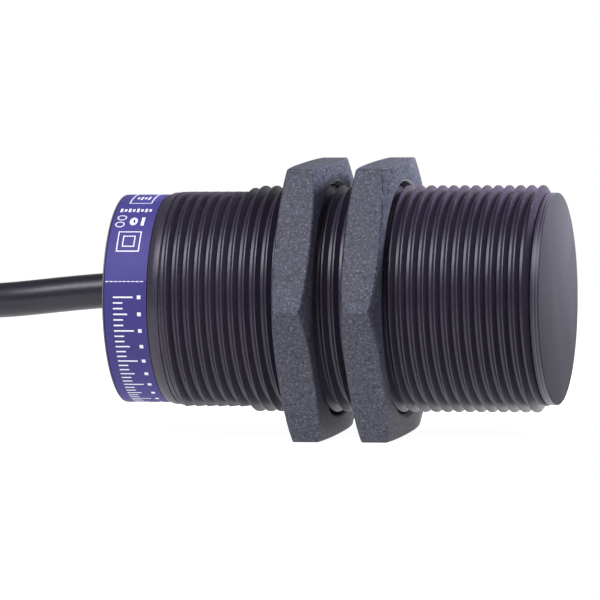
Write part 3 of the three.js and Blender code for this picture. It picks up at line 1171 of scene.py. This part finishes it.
@dataclass
class Label:
    """The printed band round the rear of the barrel, with plain marks in place of any wording."""

    back: float = -58.2
    front: float = -52.5
    radius: float = 13.85
    inner: float = 13.47
    panel_top: float = 14.6
    panel_bottom: float = -118.0
    print_foot: float = 0.002
    print_thick: float = 0.012
    panel_foot: float = 0.001
    panel_thick: float = 0.006
    margin: float = 0.03

    def spot(self, x: float, along: float, lift: float) -> Point:
        """A point on the band.

        Args:
            x: Its place along the barrel.
            along: Its place round the band, in degrees up from the near side.
            lift: Its height above the film.

        Returns:
            The point.
        """
        angle = math.radians(along)
        r = self.radius + lift
        return (x, -r * math.cos(angle), r * math.sin(angle))

    def patch(self, form: Form, outline: Outline, hole: Outline = ()) -> None:
        """Add a thin printed patch, or a band between an outline and a hole.

        Args:
            form: The form that takes the ink.
            outline: The patch's edge, as x and degrees round the band.
            hole: The hole's edge, with as many points.
        """
        base = [self.spot(x, a, self.print_foot) for x, a in outline]
        top = [self.spot(x, a, self.print_thick) for x, a in outline]
        if not hole:
            form.rings([base, top], ends=True)
            return
        inner = [self.spot(x, a, self.print_thick) for x, a in hole]
        inner_base = [self.spot(x, a, self.print_foot) for x, a in hole]
        form.rings([base, top, inner, inner_base], loop=True)

    def box(self, x: float, along: float, wide: float, tall: float) -> Outline:
        """A rectangle on the band.

        Args:
            x: Its middle along the barrel.
            along: Its middle round the band, in degrees up from the near side.
            wide: Its width along X.
            tall: Its height round the band, in millimetres.

        Returns:
            Its edge, as x and degrees.
        """
        steps = max(2, math.ceil(tall / 0.5))
        rise = math.degrees(tall / self.radius)
        left = [(x - wide / 2, along + rise * (k / steps - 0.5)) for k in range(steps + 1)]
        right = [(x + wide / 2, along + rise * (0.5 - k / steps)) for k in range(steps + 1)]
        return left + right

    def oval(self, x: float, along: float, wide: float, tall: float) -> Outline:
        """An oval on the band.

        Args:
            x: Its middle along the barrel.
            along: Its middle round the band, in degrees up from the near side.
            wide: Its width along X.
            tall: Its height round the band, in millimetres.

        Returns:
            Its edge, as x and degrees.
        """
        rise = math.degrees(tall / self.radius) / 2
        turns = [2 * math.pi * k / 28 for k in range(28)]
        return [(x + wide / 2 * math.cos(t), along + rise * math.sin(t)) for t in turns]

    def print_mark(self, form: Form, mark: Mark) -> None:
        """Print one mark.

        Args:
            form: The form that takes the ink.
            mark: The mark's kind, place and size.
        """
        x, along, line = mark.x, mark.along, mark.line
        outline = self.box if mark.kind in (Print.BAR, Print.FRAME) else self.oval
        edge = outline(x, along, mark.wide, mark.tall)
        hole: Outline = ()
        if mark.kind in (Print.FRAME, Print.RING):
            # the hole needs the outline's count of points, so it is the same shape drawn smaller
            shrink_x, shrink_a = (mark.wide - 2 * line) / mark.wide, (mark.tall - 2 * line) / mark.tall
            hole = [(x + (u - x) * shrink_x, along + (a - along) * shrink_a) for u, a in edge]
        self.patch(form, edge, hole)

    def build(self, bench: Bench) -> None:
        """Make the film, its darker panel and the white print.

        Args:
            bench: The bench that takes the pieces.
        """
        sleeve = [(self.back, self.inner), (self.back, self.radius)]
        sleeve += [(self.front, self.radius), (self.front, self.inner)]
        film = Form().turned(eased(sleeve, 0.03, 2), 160)
        bench.add("label_film", film, Stock.label, "label_film", stands_for=["label_sleeve"])
        middle, width = (self.back + self.front) / 2, self.front - self.back - 2 * self.margin
        panel = Form()
        tall = math.radians(self.panel_top - self.panel_bottom) * self.radius
        along = (self.panel_top + self.panel_bottom) / 2
        self.panel_patch(panel, middle, along, width, tall)
        bench.add("label_panel", panel, Stock.panel, "label_film")
        print_form = Form()
        for mark in self.layout():
            self.print_mark(print_form, mark)
        bench.add("label_print", print_form, Stock.ink, "label_film")

    def panel_patch(self, form: Form, x: float, along: float, wide: float, tall: float) -> None:
        """The large darker panel, built in strips so that it follows the band.

        Args:
            form: The form that takes the panel.
            x: Its middle along the barrel.
            along: Its middle round the band, in degrees up from the near side.
            wide: Its width along X.
            tall: Its height round the band, in millimetres.
        """
        strips = 48
        rise = math.degrees(tall / self.radius)
        rows = []
        for k in range(strips + 1):
            a = along + rise * (k / strips - 0.5)
            low, high = x - wide / 2, x + wide / 2
            foot = [self.spot(low, a, self.panel_foot), self.spot(high, a, self.panel_foot)]
            rows.append([*foot, self.spot(high, a, self.panel_thick), self.spot(low, a, self.panel_thick)])
        form.rings(rows, ends=True)

    def layout(self) -> Iterable[Mark]:
        """Every mark, from the top of the band down its near side, and a plain block behind."""
        yield Mark(Print.FRAME, -55.28, 87.0, 3.1, 8.0, 0.15)
        for k in range(4):
            yield Mark(Print.BAR, -56.0 + 0.5 * k, 79.0, 0.26, 0.9 + 0.5 * (k % 2))
        for k in range(8):
            yield Mark(Print.BAR, -57.4 + 0.56 * k, 62.5, 0.34, 0.85 - 0.25 * (k % 2))
        yield Mark(Print.RING, -57.0, 55.6, 1.3, 1.05, 0.16)
        yield Mark(Print.RING, -57.08, 50.2, 1.3, 1.05, 0.16)
        yield Mark(Print.DOT, -55.3, 52.6, 1.1, 1.5)
        yield Mark(Print.BAR, -54.05, 52.6, 0.45, 1.6)
        yield Mark(Print.FRAME, -55.42, 38.4, 3.15, 3.2, 0.16)
        yield Mark(Print.FRAME, -55.42, 38.4, 1.7, 1.75, 0.16)
        for k in range(9):
            yield Mark(Print.BAR, self.back + 0.35 + 0.585 * k, self.panel_top, 0.46, 0.11)
        for k in range(34):
            long = (2.7, 1.3, 1.3, 1.9, 1.3, 1.3)[k % 6]
            yield Mark(Print.BAR, -57.0 + long / 2, 6.0 - 3.1 * k, long, 0.2)
        for k in range(11):
            yield Mark(Print.BAR, -53.5, 6.0 - 9.3 * k, 0.5, 0.5)
        for k in range(3):
            yield Mark(Print.BAR, -55.2, 150.0 + 8 * k, 3.4, 0.3)


# ---------------------------------------------------------------- electronics


class Ends(Enum):
    """How a component meets the board."""

    CAPS = "caps"
    LEGS = "legs"
    TABS = "tabs"


@dataclass
class Chip:
    """A component on the board: an eased body over its node's box, and its metal ends."""

    node: str
    finish: Finish
    slot: str
    ends: Ends
    legs: int = 2
    board_top: float = 0.8

    def build(self, bench: Bench) -> None:
        """Make the body a little inside its node's box, and metal at its ends.

        Args:
            bench: The bench that takes the pieces.
        """
        low, high = (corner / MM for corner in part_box(self.node))
        size, middle = high - low, (high + low) / 2
        metal = Form()
        if self.ends is Ends.CAPS:
            inset = 0.22 * size.x
            for side in (-1, 1):
                spot = (middle.x + side * (size.x - inset) / 2, middle.y, middle.z)
                metal.block((inset, size.y, size.z), spot, 0.06)
            body = (size.x - 2 * inset - 0.02, size.y - 0.06, size.z - 0.08)
        elif self.ends is Ends.TABS:
            for side in (-1, 1):
                spot = (middle.x + side * (size.x / 2 - 0.12), middle.y, low.z + 0.3)
                metal.block((0.2, size.y * 0.55, 0.6), spot, 0.04)
            body = (size.x - 0.5, size.y, size.z)
        else:
            per_side = self.legs // 2
            for side in (-1, 1):
                for k in range(per_side):
                    x = middle.x + (k - (per_side - 1) / 2) * size.x / per_side
                    foot = (x, middle.y + side * (size.y / 2 + 0.35), self.board_top + 0.1)
                    metal.block((0.42, 0.75, 0.14), foot, 0.03)
                    shank = (x, middle.y + side * (size.y / 2 + 0.06), low.z + size.z * 0.25)
                    metal.block((0.42, 0.14, size.z * 0.45), shank, 0.03)
            body = tuple(size)
        shape = Form().block(body, tuple(middle), 0.12)
        bench.add(f"{self.node}_body", shape, self.finish, self.slot, stands_for=[self.node])
        bench.add(f"{self.node}_ends", metal, Stock.tinned, "tinned")


@dataclass
class Electronics:
    """The circuit board with its parts, its tracks and the status light."""

    top: float = 0.8
    resistors: int = 4

    def chips(self) -> list[Chip]:
        """Every plain component.

        Returns:
            The components, in the order in which they are made.
        """
        ceramic = ("smoothing_capacitor", "filter_capacitor", "timing_capacitor")
        diodes = ("polarity_diode", "clamp_diode")
        made = [Chip(node, Stock.ceramic, "chip_ceramic", Ends.CAPS) for node in ceramic]
        made += [Chip(node, Stock.epoxy, "chip_epoxy", Ends.TABS) for node in diodes]
        resistors = [f"resistor_{k + 1}" for k in range(self.resistors)]
        made += [Chip(node, Stock.epoxy, "chip_epoxy", Ends.CAPS) for node in resistors]
        made.append(Chip("sensor_ic", Stock.epoxy, "chip_epoxy", Ends.LEGS, 8))
        made.append(Chip("output_transistor", Stock.epoxy, "chip_epoxy", Ends.LEGS, 6))
        made.append(Chip("status_led", Stock.lamp, "led_plastic", Ends.CAPS))
        return made

    def tracks(self) -> Form:
        """Copper tracks and pads under a thin skin of solder, joining the components.

        Returns:
            The form that holds them all.
        """
        runs = [
            [(-13.4, -6.8), (-15.5, -5.2), (-15.5, -4.1)],
            [(-13.4, 6.8), (-15.5, 5.2), (-15.5, 4.1)],
            [(-16.7, 0), (-17.4, 1.0), (-17.4, 2.6)],
            [(-22.7, -2.6), (-23.4, -4), (-23.4, -7)],
            [(-22.0, 2.7), (-22.9, 5.5), (-23.5, 5.5)],
            [(-25.7, -4), (-28, -4), (-30, -5.4)],
            [(-28.5, 5.5), (-31, 5.5), (-32.8, 5.1)],
            [(-31.7, 0), (-34, -1.4), (-36.5, -2.6)],
            [(-37.2, 5), (-38, 5), (-38.8, 5)],
            [(-43.2, 5), (-45, 4.6), (-46.2, 3.8)],
            [(-41.5, -5), (-44, -5), (-46.2, -3.8)],
            [(-45, -7.8), (-43.4, -7.8), (-42, -6.8)],
        ]
        form = Form()
        levels = (self.top + 0.002, self.top + 0.035)
        for run in runs:
            for (x0, y0), (x1, y1) in zip(run, run[1:]):
                way = Vector((x1 - x0, y1 - y0))
                side = way.orthogonal().normalized() * 0.16
                corners = [(x0 + side.x, y0 + side.y), (x1 + side.x, y1 + side.y)]
                corners += [(x1 - side.x, y1 - side.y), (x0 - side.x, y0 - side.y)]
                form.rings([[(*corner, z) for corner in corners] for z in levels], ends=True)
            for x, y in (run[0], run[-1]):
                form.block((0.9, 0.9, 0.05), (x, y, self.top + 0.03), 0.02)
        return form

    def trimmer(self, bench: Bench) -> None:
        """The adjustment pot: a nylon box with a slotted brass rotor.

        Args:
            bench: The bench that takes the pieces.
        """
        node = "trim_potentiometer"
        low, high = (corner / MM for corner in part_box(node))
        middle = (low + high) / 2
        box = Form().block((high.x - low.x, high.y - low.y, 2.0), (middle.x, middle.y, low.z + 1.0), 0.15)
        bench.add(f"{node}_body", box, Stock.nylon, "natural_nylon", stands_for=[node])
        rotor = Form().drum((middle.x, middle.y, low.z + 2.01), (middle.x, middle.y, high.z), 1.55, 48)
        piece = bench.add(f"{node}_rotor", rotor, Stock.brass, "brass")
        cut(piece, Form().block((2.4, 0.45, 0.6), (middle.x, middle.y, high.z)))

    def build(self, bench: Bench) -> None:
        """Dress the board and put its parts on it.

        Args:
            bench: The bench that takes the pieces.
        """
        bench.dress("circuit_board", Stock.board)
        bench.add("board_tracks", self.tracks(), Stock.tinned, "tinned")
        for chip in self.chips():
            chip.build(bench)
        self.trimmer(bench)


# ---------------------------------------------------------------- sensing coil and seals


@dataclass
class Insides:
    """What fills the barrel: pot core, winding, holder, shield, seals, potting and the cable's fixings."""

    cable_z: float = 1.3
    led_y: float = -7.8
    led_z: float = 1.6
    bore: float = 12.3
    lead_y: float = 6.8
    lead_z: float = 1.25

    def tube(self, low: float, high: float, inner: float, outer: float) -> Profile:
        """A plain tube's profile."""
        return [(low, inner), (low, outer), (high, outer), (high, inner)]

    def winding(self) -> Profile:
        """The coil's profile, with its outer layer of turns standing up as ridges.

        Returns:
            Its points, by x and radius.
        """
        low, high, inner, outer, wire = -6.3, -2.4, 5.05, 8.2, 0.3
        turns = round((high - low) / wire)
        steps = 6
        ridge = [
            (low + (high - low) * k / (turns * steps), outer + 0.1 * abs(math.sin(math.pi * k / steps)))
            for k in range(turns * steps + 1)
        ]
        return [(low, inner), *ridge, (high, inner)]

    def parts(self) -> list[TurnedPart]:
        """Every turned piece inside, and the two caps.

        Returns:
            The pieces, in the order in which they are made.
        """
        leads = [(side * self.lead_y, self.lead_z, 0.45) for side in (-1, 1)]
        exits = [(0, self.cable_z, 3.9), (self.led_y, self.led_z, 1.5)]
        plug_holes = [(0, self.cable_z, 2.45), (self.led_y, self.led_z, 1.5)]
        core = [(-9.3, 1), (-9.3, 10.2), (-1.6, 10.2), (-1.6, 8.9)]
        core += [(-7.1, 8.9), (-7.1, 4.2), (-1.6, 4.2), (-1.6, 1)]
        bobbin = [(-6.9, 4.35), (-6.9, 8.7), (-6.4, 8.7), (-6.4, 4.95)]
        bobbin += [(-2.3, 4.95), (-2.3, 8.7), (-1.8, 8.7), (-1.8, 4.35)]
        cup = [(-10.6, 0), (-10.6, 11.05), (-1.4, 11.05), (-1.4, 10.35), (-9.6, 10.35), (-9.6, 0)]
        front = [(-1.2, 0), (-1.2, 11.75), (-4.6, 11.75), (-4.6, 12.3)]
        front += [(-1.2, 12.3), (-1.2, 14), (0, 14), (0, 0)]
        rear = [(-58.5, 0), (-58.5, 13.85), (-58.3, 13.85), (-58.3, 12.3), (-55.5, 12.3), (-55.5, 0)]
        snout = [(-60.3, 2.42), (-60.3, 3.7), (-58.6, 4.7), (-58.6, 3.8)]
        snout += [(-55.4, 3.8), (-55.4, 4.7), (-54.4, 4.7), (-54.4, 2.42)]
        beside = (0, self.cable_z)
        tube = self.tube
        plug = tube(-51.8, -50.3, 0.01, self.bore)
        return [
            TurnedPart("front_cap", front, Stock.face, "face_plastic", 0.14, sides=160),
            TurnedPart("rear_cap", rear, Stock.cap, "cap_plastic", 0.16, sides=160, holes=exits),
            TurnedPart("ferrite_core", core, Stock.ferrite, "ferrite", 0.12, holes=leads),
            TurnedPart("coil_bobbin", bobbin, Stock.nylon, "natural_nylon", 0.08),
            TurnedPart("coil_winding", self.winding(), Stock.copper, "copper", 0.02),
            TurnedPart("core_holder", cup, Stock.nylon, "natural_nylon", 0.15, holes=leads),
            TurnedPart("shield_ring", tube(-12, -1.4, 11.15, 11.6), Stock.brass, "brass", 0.06),
            TurnedPart("potting_plug", plug, Stock.potting, "potting_resin", 0.3, holes=plug_holes),
            TurnedPart("cable_bushing", snout, Stock.seal, "seal_rubber", 0.25, beside, 64),
            TurnedPart("cable_clamp", tube(-53.7, -52, 2.42, 3.3), Stock.brass, "brass", 0.15, beside, 48),
        ]

    def seal(self, bench: Bench, node: str) -> None:
        """A round-section seal ring where its node lies.

        Args:
            bench: The bench that takes the pieces.
            node: The seal's node.
        """
        low, high = (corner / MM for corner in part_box(node))
        x, outer = (low.x + high.x) / 2, high.z
        radius = 0.3
        ring = [2 * math.pi * k / 16 for k in range(16)]
        section = [(x + radius * math.cos(t), outer - radius + radius * math.sin(t)) for t in ring]
        form = Form().turned(section, 96)
        bench.add(f"{node}_fine", form, Stock.seal, "seal_rubber", stands_for=[node], crease=80)

    def rod(self, node: str, y: float, z: float, radius: float, sides: int, tip: float) -> Form:
        """A round bar along X at that y and z, as long as a node's box, with its ends rounded by a tip."""
        low, high = (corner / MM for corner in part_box(node))
        return Form().tube([Vector((low.x, y, z)), Vector((high.x, y, z))], radius, sides, tip)

    def wires(self, bench: Bench) -> None:
        """The three insulated cores from the jacket to the board, and the light guide.

        Args:
            bench: The bench that takes the pieces.
        """
        level = 1.5
        for side, colour, finish in Cable.cores:
            route = [(-49.5, side * 1.3, self.cable_z), (-48.4, side * 1.9, level + 0.1)]
            route += [(-46.8, side * 3, level), (-45.2, side * 3.6, level)]
            form = Form().tube(smooth_route(route, 6), 0.6, 16, 0.1)
            name = f"core_wire_{colour}"
            bench.add(f"{name}_fine", form, finish, f"wire_{colour}", stands_for=[name])
        pipe = self.rod("light_guide", self.led_y, self.led_z, 1.4, 40, 0.35)
        bench.add("light_guide_fine", pipe, Stock.clear, "clear_plastic", stands_for=["light_guide"])
        jacket = "cable_jacket_inner"
        stub = self.rod(jacket, 0, self.cable_z, 2.35, 48, 0.2)
        bench.add(f"{jacket}_fine", stub, Stock.jacket, "cable_jacket", stands_for=[jacket])

    def build(self, bench: Bench) -> None:
        """Make every piece inside the barrel.

        Args:
            bench: The bench that takes the pieces.
        """
        for part in self.parts():
            part.build(bench)
        for node in ("front_o_ring", "rear_o_ring"):
            self.seal(bench, node)
        self.wires(bench)
        for node in ("coil_lead_1", "coil_lead_2"):
            bench.dress(node, Stock.copper)


# ---------------------------------------------------------------- cable


@dataclass
class Cable:
    """The 2 m cable: a short free stretch, a tied hank of turns, and a bare end with three cores."""

    cores = ((-1, "brown", Stock.brown), (0, "blue", Stock.blue), (1, "black", Stock.black))

    radius: float = 2.35
    length: float = 2000.0
    floor: float = -18.0
    pitch: float = 4.8
    fold: float = 14.2
    run: float = 71.0
    near: float = -119.0
    tail_y: float = -19.0
    strap_thick: float = 0.8
    strap_wide: float = 9.0
    layers: int = 4
    slack: tuple[float, ...] = (-1.0, -2.9, 0.0, 2.3, 0.0, -2.3, 0.0)

    def level(self, layer: int) -> float:
        """Height of a layer's centreline, counted from the bottom."""
        return self.floor + self.strap_thick + 0.1 + self.radius + layer * self.pitch

    def places(self) -> Profile:
        """The radius and height of each turn in winding order, from the top outer turn down.

        Returns:
            The turns' radii and heights.
        """
        inner, outer = self.fold, self.fold + self.pitch
        made: Profile = []
        for step, layer in enumerate(reversed(range(self.layers))):
            pair = [outer, inner] if step % 2 == 0 else [inner, outer]
            made += [(radius, self.level(layer)) for radius in pair]
        return made

    def near_fold(self, turn: int) -> list[Point]:
        """The near fold that takes the cable from one place to the next, as an even half circle.

        Args:
            turn: Which turn it leads into, from 1.

        Returns:
            Its points, from the side towards -Y to just before the side towards +Y.
        """
        (last_radius, last_height), (radius, height) = self.places()[turn - 1 : turn + 1]
        even, middle = (last_radius + radius) / 2, (radius - last_radius) / 2
        points = []
        for angle in range(-90, 90, 10):
            way = math.radians(angle)
            x = self.near + self.slack[turn - 1] + even * math.cos(way)
            z = last_height + (height - last_height) * (1 + math.sin(way)) / 2
            points.append((x, middle + even * math.sin(way), z))
        return points

    def hank(self) -> list[Point]:
        """The hank's points: each turn is a run out, the far fold and a run back, with near folds between.

        Returns:
            The points, from the first turn to the last.
        """
        far = self.near - self.run
        points: list[Point] = []
        for turn, (radius, height) in enumerate(self.places()):
            if turn:
                points += self.near_fold(turn)
            else:
                for angle in range(60, 90, 10):
                    way = math.radians(angle)
                    points.append((self.near + radius * math.cos(way), radius * math.sin(way), height))
            start = self.near + (self.slack[turn - 1] if turn else 0)
            end = self.near + (self.slack[turn] if turn < len(self.slack) else 0)
            points += [(start + (far - start) * k / 6, radius, height) for k in range(6)]
            for angle in range(90, 270, 12):
                way = math.radians(angle)
                points.append((far + radius * math.cos(way), radius * math.sin(way), height))
            points += [(far + (end - far) * k / 6, -radius, height) for k in range(6)]
        return points

    def route(self) -> list[Point]:
        """The whole cable's middle line, from the bushing to the cut end.

        Returns:
            The points, from the bushing on.
        """
        out = [
            (-60.6, 0, 1.1),
            (-64, 0, 0.83),
            (-68, 0, 0.45),
            (-72, 0.05, 0.03),
            (-76, 0.45, -0.33),
            (-82, 1.8, -0.65),
            (-88, 4.2, -0.8),
            (-92, 6.4, -0.77),
            (-96.7, 9.1, -0.65),
            (-101, 11.6, -0.55),
            (-105.3, 14.1, -0.4),
        ]
        tail = [
            (-119, self.tail_y, self.level(0)),
            (-114, self.tail_y, -14.85),
            (-109, self.tail_y, -15.05),
            (-103.6, self.tail_y, -15.3),
            (-101.5, self.tail_y, -15.5),
            (-98.3, self.tail_y, -15.6),
        ]
        return out + self.hank() + tail

    def build(self, bench: Bench) -> None:
        """Args:
            bench: The bench that takes the pieces.
        """
        points = smooth_route(self.route(), 3)
        curve = bpy.data.curves.new("cable", "CURVE")
        curve.dimensions = "3D"
        curve.bevel_depth = self.radius * MM
        curve.bevel_resolution = 6
        curve.use_fill_caps = True
        spline = curve.splines.new("POLY")
        spline.points.add(len(points) - 1)
        for entry, point in zip(spline.points, points, strict=True):
            entry.co = (*(point * MM), 1)
        spline.use_smooth = True
        measured = sum((b - a).length for a, b in zip(points, points[1:]))
        log.info("cable is %.0f mm long on its middle line", measured)
        nodes = ["cable_run", "cable_hank", "cable_tail"]
        cable = bench.add("cable", curve, Stock.jacket, "cable_jacket", stands_for=nodes)
        extras = [self.strap(bench), *self.leads(bench)]

    def strap(self, bench: Bench) -> bpy.types.Object:
        """The hook-and-loop strap round the hank, with its free end lapped on top.

        Args:
            bench: The bench that takes the pieces.

        Returns:
            The strap.
        """
        half = self.fold + self.pitch + self.radius + 0.12
        low, high = self.level(0) - self.radius - 0.05, self.level(self.layers - 1) + self.radius + 0.08
        corner, middle = 2.4, self.near - self.run / 2
        path: list[tuple[float, float, float, float]] = []
        for k, (u, v) in enumerate(((1, 1), (-1, 1), (-1, -1), (1, -1))):
            for step in range(7):
                angle = math.pi / 2 * (k + step / 6)
                way = (math.cos(angle), math.sin(angle))
                y, z = u * (half - corner), (high - corner if v > 0 else low + corner)
                path.append((y + corner * way[0], z + corner * way[1], *way))
            if k == 0:
                # between the two bundles the strap dips a little
                for s in range(5):
                    dip = 0.35 * math.sin(math.pi * (s + 1) / 6)
                    path.append((half * (0.5 - 0.25 * s), high - dip, 0, 1))
        w, t = self.strap_wide / 2, self.strap_thick
        section = [(-w, 0.1), (-w + 0.1, 0), (w - 0.1, 0), (w, 0.1)]
        section += [(w, t - 0.15), (w - 0.15, t), (-w + 0.15, t), (-w, t - 0.15)]
        rows = [[(middle + x, y + ny * d, z + nz * d) for x, d in section] for y, z, ny, nz in path]
        form = Form().rings(rows, loop=True)
        lap = [Vector((0, 9 - 3.2 * k, high + t + 0.42 + 0.05 * math.sin(k))) for k in range(6)]
        flap = [[(middle + x * 0.98, spot.y, spot.z + d * 0.85 - t / 2) for x, d in section] for spot in lap]
        form.rings(flap, ends=True)
        return bench.add("hank_strap", form, Stock.strap, "tie_nylon", stands_for=["hank_tie"])

    def leads(self, bench: Bench) -> list[bpy.types.Object]:
        """The bare end's insulated cores, each with a twisted and tinned tip.

        Args:
            bench: The bench that takes the pieces.

        Returns:
            The cores and their tips.
        """
        height = self.floor + 0.75
        made = []
        for side, colour, finish in self.cores:
            y = self.tail_y
            route = [(-99.5, y + side * 1.0, height + 1.35), (-97.9, y + side * 1.2, height + 1)]
            route += [(-94, y + side * 1.7, height + 0.3), (-88, y + side * 3, height)]
            route.append((-82.5, y + side * 3.6, height))
            form = Form().tube(smooth_route(route, 6), 0.65, 18, 0.1)
            name = f"lead_{colour}"
            made.append(bench.add(f"{name}_fine", form, finish, f"wire_{colour}", stands_for=[name]))
            made.append(self.tip(bench, side, colour, height))
        return made

    def tip(self, bench: Bench, side: int, colour: str, height: float) -> bpy.types.Object:
        """A core's tinned strands: seven wires laid in a twist.

        Args:
            bench: The bench that takes the pieces.
            side: Where the core lies across the cable: -1, 0 or 1.
            colour: The core's colour, as in its name.
            height: Height of the core's middle line.

        Returns:
            The tip.
        """
        start = Vector((-83.2, self.tail_y + side * 3.57, height))
        end = Vector((-77, self.tail_y + side * 3.8, height))
        way = (end - start).normalized()
        across = way.orthogonal().normalized()
        up = way.cross(across)
        form = Form().tube([start.lerp(end, k / 8) for k in range(9)], 0.14, 10, 0.03)
        for strand in range(6):
            turn = [math.pi / 3 * strand + 0.35 * k for k in range(13)]
            middle = [start.lerp(end, k / 12) for k in range(13)]
            line = [
                spot + (across * math.cos(t) + up * math.sin(t)) * 0.27
                for spot, t in zip(middle, turn, strict=True)
            ]
            form.tube(line, 0.135, 10, 0.03)
        name = f"lead_tip_{colour}"
        return bench.add(f"{name}_fine", form, Stock.tinned, "tinned", stands_for=[name], crease=70)


# ---------------------------------------------------------------- stage


@dataclass(frozen=True)
class Lamp:
    """A square area light that faces a point, with or without a glint of its own."""

    name: str
    place: Point
    size: float
    power: float
    aim: Point = (-30, 0, 0)
    colour: Colour = (1, 1, 1)
    glints: bool = True

    def build(self) -> None:
        """Hang the lamp."""
        light = bpy.data.lights.new(self.name, "AREA")
        light.size, light.energy, light.color = self.size * MM, self.power, self.colour
        lamp = bpy.data.objects.new(self.name, light)
        bpy.context.scene.collection.objects.link(lamp)
        lamp.location = Vector(self.place) * MM
        lamp.visible_camera = False
        lamp.visible_glossy = self.glints
        lamp.rotation_euler = (Vector(self.aim) - Vector(self.place)).to_track_quat("-Z", "Y").to_euler()


@dataclass
class Studio:
    """White floor, soft light and the camera."""

    azimuth: float = 12.98
    elevation: float = 5.37
    roll: float = -1.14
    distance: float = 890.7
    lens: float = 402.36
    sensor: float = 36.0
    aim: Point = (-34.92, 0.0, -0.2)
    floor: float = -18.0
    ambient: float = 0.15
    card: tuple[float, float, float, float] = (-380, 2, -160, 200)
    lamps: tuple[Lamp, ...] = (
        Lamp("key", (-150, -350, 460), 260, 3.0, colour=(0.91, 0.91, 1)),
        Lamp("backdrop", (-60, 420, 130), 300, 0.14, (-40, 0, 0)),
        Lamp("side", (330, -140, 330), 160, 0.85, colour=(0.97, 0.95, 1), glints=False),
        Lamp("face", (27, 34, 42), 18, 0.17, (0, 0, 10), glints=False),
    )

    def camera(self) -> None:
        """Stand the camera where the object is seen nearly side on, from a little above."""
        a, e = math.radians(self.azimuth), math.radians(self.elevation)
        back = Vector((math.sin(a) * math.cos(e), -math.cos(a) * math.cos(e), math.sin(e)))
        right = Vector((0, 0, 1)).cross(back).normalized()
        up = back.cross(right)
        r = math.radians(self.roll)
        level, rise = right * math.cos(r) + up * math.sin(r), up * math.cos(r) - right * math.sin(r)
        data = bpy.data.cameras.new("camera")
        data.sensor_width = self.sensor
        data.lens = self.lens
        data.clip_start, data.clip_end = 0.01, 20
        camera = bpy.data.objects.new("camera", data)
        bpy.context.scene.collection.objects.link(camera)
        turn = Matrix((level, rise, back)).transposed().to_4x4()
        camera.matrix_world = Matrix.Translation((Vector(self.aim) + back * self.distance) * MM) @ turn
        bpy.context.scene.camera = camera

    def surroundings(self) -> None:
        """Lay the floor, light the world and hang the lamps."""
        sheet = Sheet("floor_white")
        sheet.set(Base_Color=(0.3, 0.3, 0.3), Roughness=0.9, Specular_IOR_Level=0.0)
        sheet.set(Emission_Color=(1, 1, 1), Emission_Strength=0.96)
        left, right, near, far = self.card
        form = Form()
        corners = ((left, near), (right, near), (right, far), (left, far))
        form.mesh.faces.new([form.mesh.verts.new((x, y, self.floor - 0.02)) for x, y in corners])
        ground = bpy.data.objects.new("floor", form.data("floor"))
        ground.data.materials.append(sheet.material)
        bpy.context.scene.collection.objects.link(ground)
        world = bpy.data.worlds.new("studio")
        world.use_nodes = True
        sky = Graph(world.node_tree)
        seen = sky.node("ShaderNodeBackground", None, {"Color": (1, 1, 1), "Strength": 1.0})
        cast = sky.node("ShaderNodeBackground", None, {"Color": (1, 1, 1), "Strength": self.ambient})
        direct = sky.node("ShaderNodeLightPath").outputs["Is Camera Ray"]
        chosen = sky.node("ShaderNodeMixShader", None, {0: direct, 1: cast.outputs[0], 2: seen.outputs[0]})
        sky.node("ShaderNodeOutputWorld", None, {"Surface": chosen.outputs[0]})
        bpy.context.scene.world = world
        bpy.context.scene.view_settings.view_transform = "Standard"
        for lamp in self.lamps:
            lamp.build()


def main() -> None:
    """Build the sensor's looks on its frame."""
    logging.basicConfig(level=logging.INFO, format="%(message)s")
    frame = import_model()
    bench = Bench(frame)
    studio = Studio()
    studio.camera()
    Cable().build(bench)
    Barrel().build(bench)
    Nut("front_nut", "front_nut_body", -25.4).build(bench)
    Nut("rear_nut", "rear_nut_body", -34.65).build(bench)
    Label().build(bench)
    Insides().build(bench)
    Electronics().build(bench)
    studio.surroundings()
    log.info("%d pieces", len(bench.pieces))


if __name__ == "__main__":
    main()
